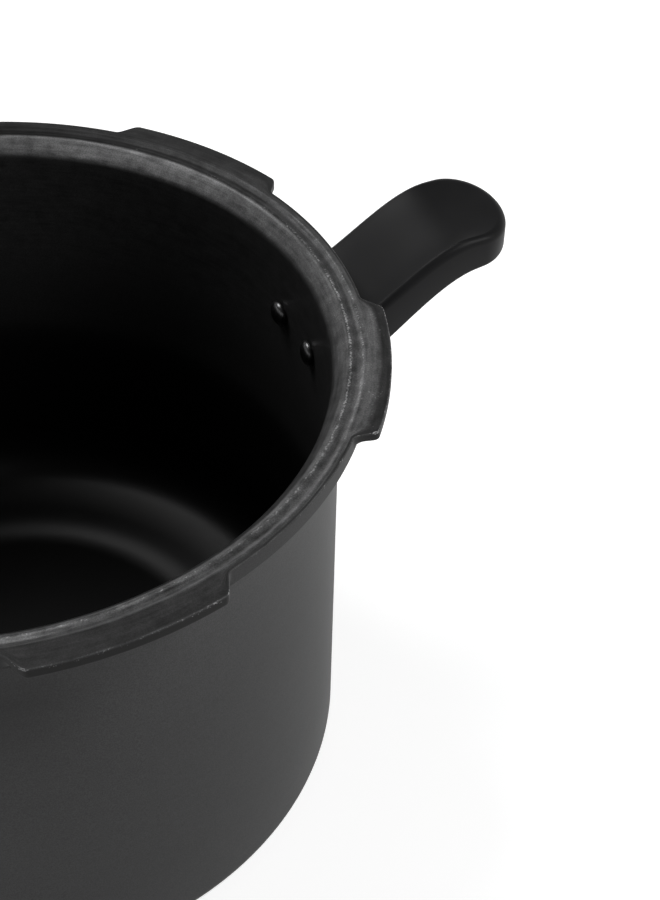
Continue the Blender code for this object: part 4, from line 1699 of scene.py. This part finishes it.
@dataclass(frozen=True)
class Studio:
    """A pale floor, soft lamps and the camera.

    Attributes:
        floor_colour: The floor's grey level.
        floor_glow: What the floor near the pot shows of its own to the camera and in reflections.
        floor_fade: The distances between which that rises to white.
        sky: The strength of the world's sides on the object.
        ceiling: The strength of the world overhead.
        lens: The camera's focal length in millimetres.
        distance: From the middle of the rim to the camera.
        azimuth: The camera's bearing about the pot, in degrees.
        elevation: Its height above the rim, in degrees.
        yaw: How far it looks to the right of the pot's axis.
        pitch: How far it looks down.
        roll: Its lean.
    """

    floor_colour: float = 0.80
    floor_glow: float = 0.58
    floor_fade: Point = (0.5, 1.4)
    sky: float = 0.34
    ceiling: float = 0.05
    lens: float = 73.44
    distance: float = 0.5399
    azimuth: float = -102.0
    elevation: float = 39.52
    yaw: float = 14.76
    pitch: float = 43.33
    roll: float = 1.59

    def build(self) -> None:
        """Make the stage."""
        self._build_floor()
        self._build_world()
        self._build_lamps()
        self._build_camera()

    def _build_floor(self) -> None:
        """Make the floor, which keeps the shadow."""
        bm = bmesh.new()
        bmesh.ops.create_circle(bm, cap_ends=True, radius=6.0, segments=96)
        mesh = meshed("floor", bm)
        material = bpy.data.materials.new("pale_floor")
        graph = Graph(material)
        diffuse = graph.node("ShaderNodeBsdfDiffuse", None, {"Color": grey(self.floor_colour)})
        place = graph.node("ShaderNodeTexCoord", output="Object")
        away = graph.node("ShaderNodeVectorMath", {"operation": "LENGTH"}, {0: place}, "Value")
        shade = graph.blend(away.between(*self.floor_fade), grey(self.floor_glow), grey(1.0))
        glow = graph.node("ShaderNodeEmission", None, {"Color": shade, "Strength": self._seen(graph)})
        both = graph.node("ShaderNodeAddShader", None, {0: diffuse, 1: glow})
        graph.node("ShaderNodeOutputMaterial", None, {"Surface": both})
        mesh.materials.append(material)
        floor = linked("floor", mesh)

    def _seen(self, graph: Graph) -> Signal:
        """1 on rays from the camera and in reflections, and 0 on rays that light the object."""
        kinds = ("Camera", "Glossy", "Transmission")
        rays = [graph.node("ShaderNodeLightPath", output=f"Is {kind} Ray") for kind in kinds]
        return rays[0].highest(rays[1]).highest(rays[2])

    def _build_world(self) -> None:
        """Make the pale surroundings."""
        world = bpy.data.worlds.new("pale_room")
        bpy.context.scene.world = world
        graph = Graph(world)
        way = graph.node("ShaderNodeTexCoord", output="Generated")
        up = graph.node("ShaderNodeSeparateXYZ", None, {0: way}, "Z")
        wall = 1.0 - up.between(0.22, 0.50)
        strength = self.ceiling + wall * (self.sky - self.ceiling + self._seen(graph) * (1.0 - self.sky))
        background = graph.node("ShaderNodeBackground", None, {"Color": grey(1.0), "Strength": strength})
        graph.node("ShaderNodeOutputWorld", None, {"Surface": background})

    def _build_lamps(self) -> None:
        """Hang the soft lamps."""
        lamps = [
            ("high_left", (-0.22, 0.46, 1.08), 0.60, 7.0),
            ("front_right", (0.50, -0.54, 0.98), 0.45, 6.5),
        ]
        for name, spot, size, power in lamps:
            light = bpy.data.lights.new(name, "AREA")
            light.shape = "DISK"
            light.size = size
            light.energy = power
            lamp = linked(name, light)
            lamp.location = spot
            aim = Vector((0, 0, 0.12)) - lamp.location
            lamp.rotation_euler = aim.to_track_quat("-Z", "Y").to_euler()

    def _build_camera(self) -> None:
        """Place the camera over the near side of the rim."""
        rise, yaw, pitch, roll = (math.radians(a) for a in (self.elevation, self.yaw, self.pitch, self.roll))
        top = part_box("pot_body")[1][2]
        spot = Vector((0, -math.cos(rise), math.sin(rise))) * self.distance
        ahead = Vector((math.sin(yaw) * math.cos(pitch), math.cos(yaw) * math.cos(pitch), -math.sin(pitch)))
        right = Vector((math.cos(yaw), -math.sin(yaw), 0))
        above = right.cross(ahead)
        cosine, sine = math.cos(roll), math.sin(roll)
        right, above = right * cosine + above * sine, above * cosine - right * sine
        turn = Matrix((right, above, -ahead)).transposed().to_4x4()
        swing = Matrix.Rotation(math.radians(self.azimuth + 90.0), 4, "Z")
        data = bpy.data.cameras.new("camera")
        data.lens = self.lens
        data.clip_start = 0.02
        camera = linked("camera", data)
        camera.matrix_world = Matrix.Translation((0, 0, top)) @ swing @ Matrix.Translation(spot) @ turn
        bpy.context.scene.camera = camera


def main() -> None:
    """Build the stage and every piece."""
    logging.basicConfig(level=logging.INFO)
    bpy.context.scene.view_settings.view_transform = "Standard"
    Studio().build()
    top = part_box("pot_body")[1][2]
    pot = Pot()
    assemblies: list[SubAssembly] = [
        pot,
        RivetedHandle("helper", helper_grip(top, pot.rim_radius), Matrix.Identity(4)),
        RivetedHandle("main", main_grip(top), TURNED_AROUND),
        Lid(),
        PressureWeight(),
    ]
    for assembly in assemblies:
        assembly.build()


if __name__ == "__main__":
    main()
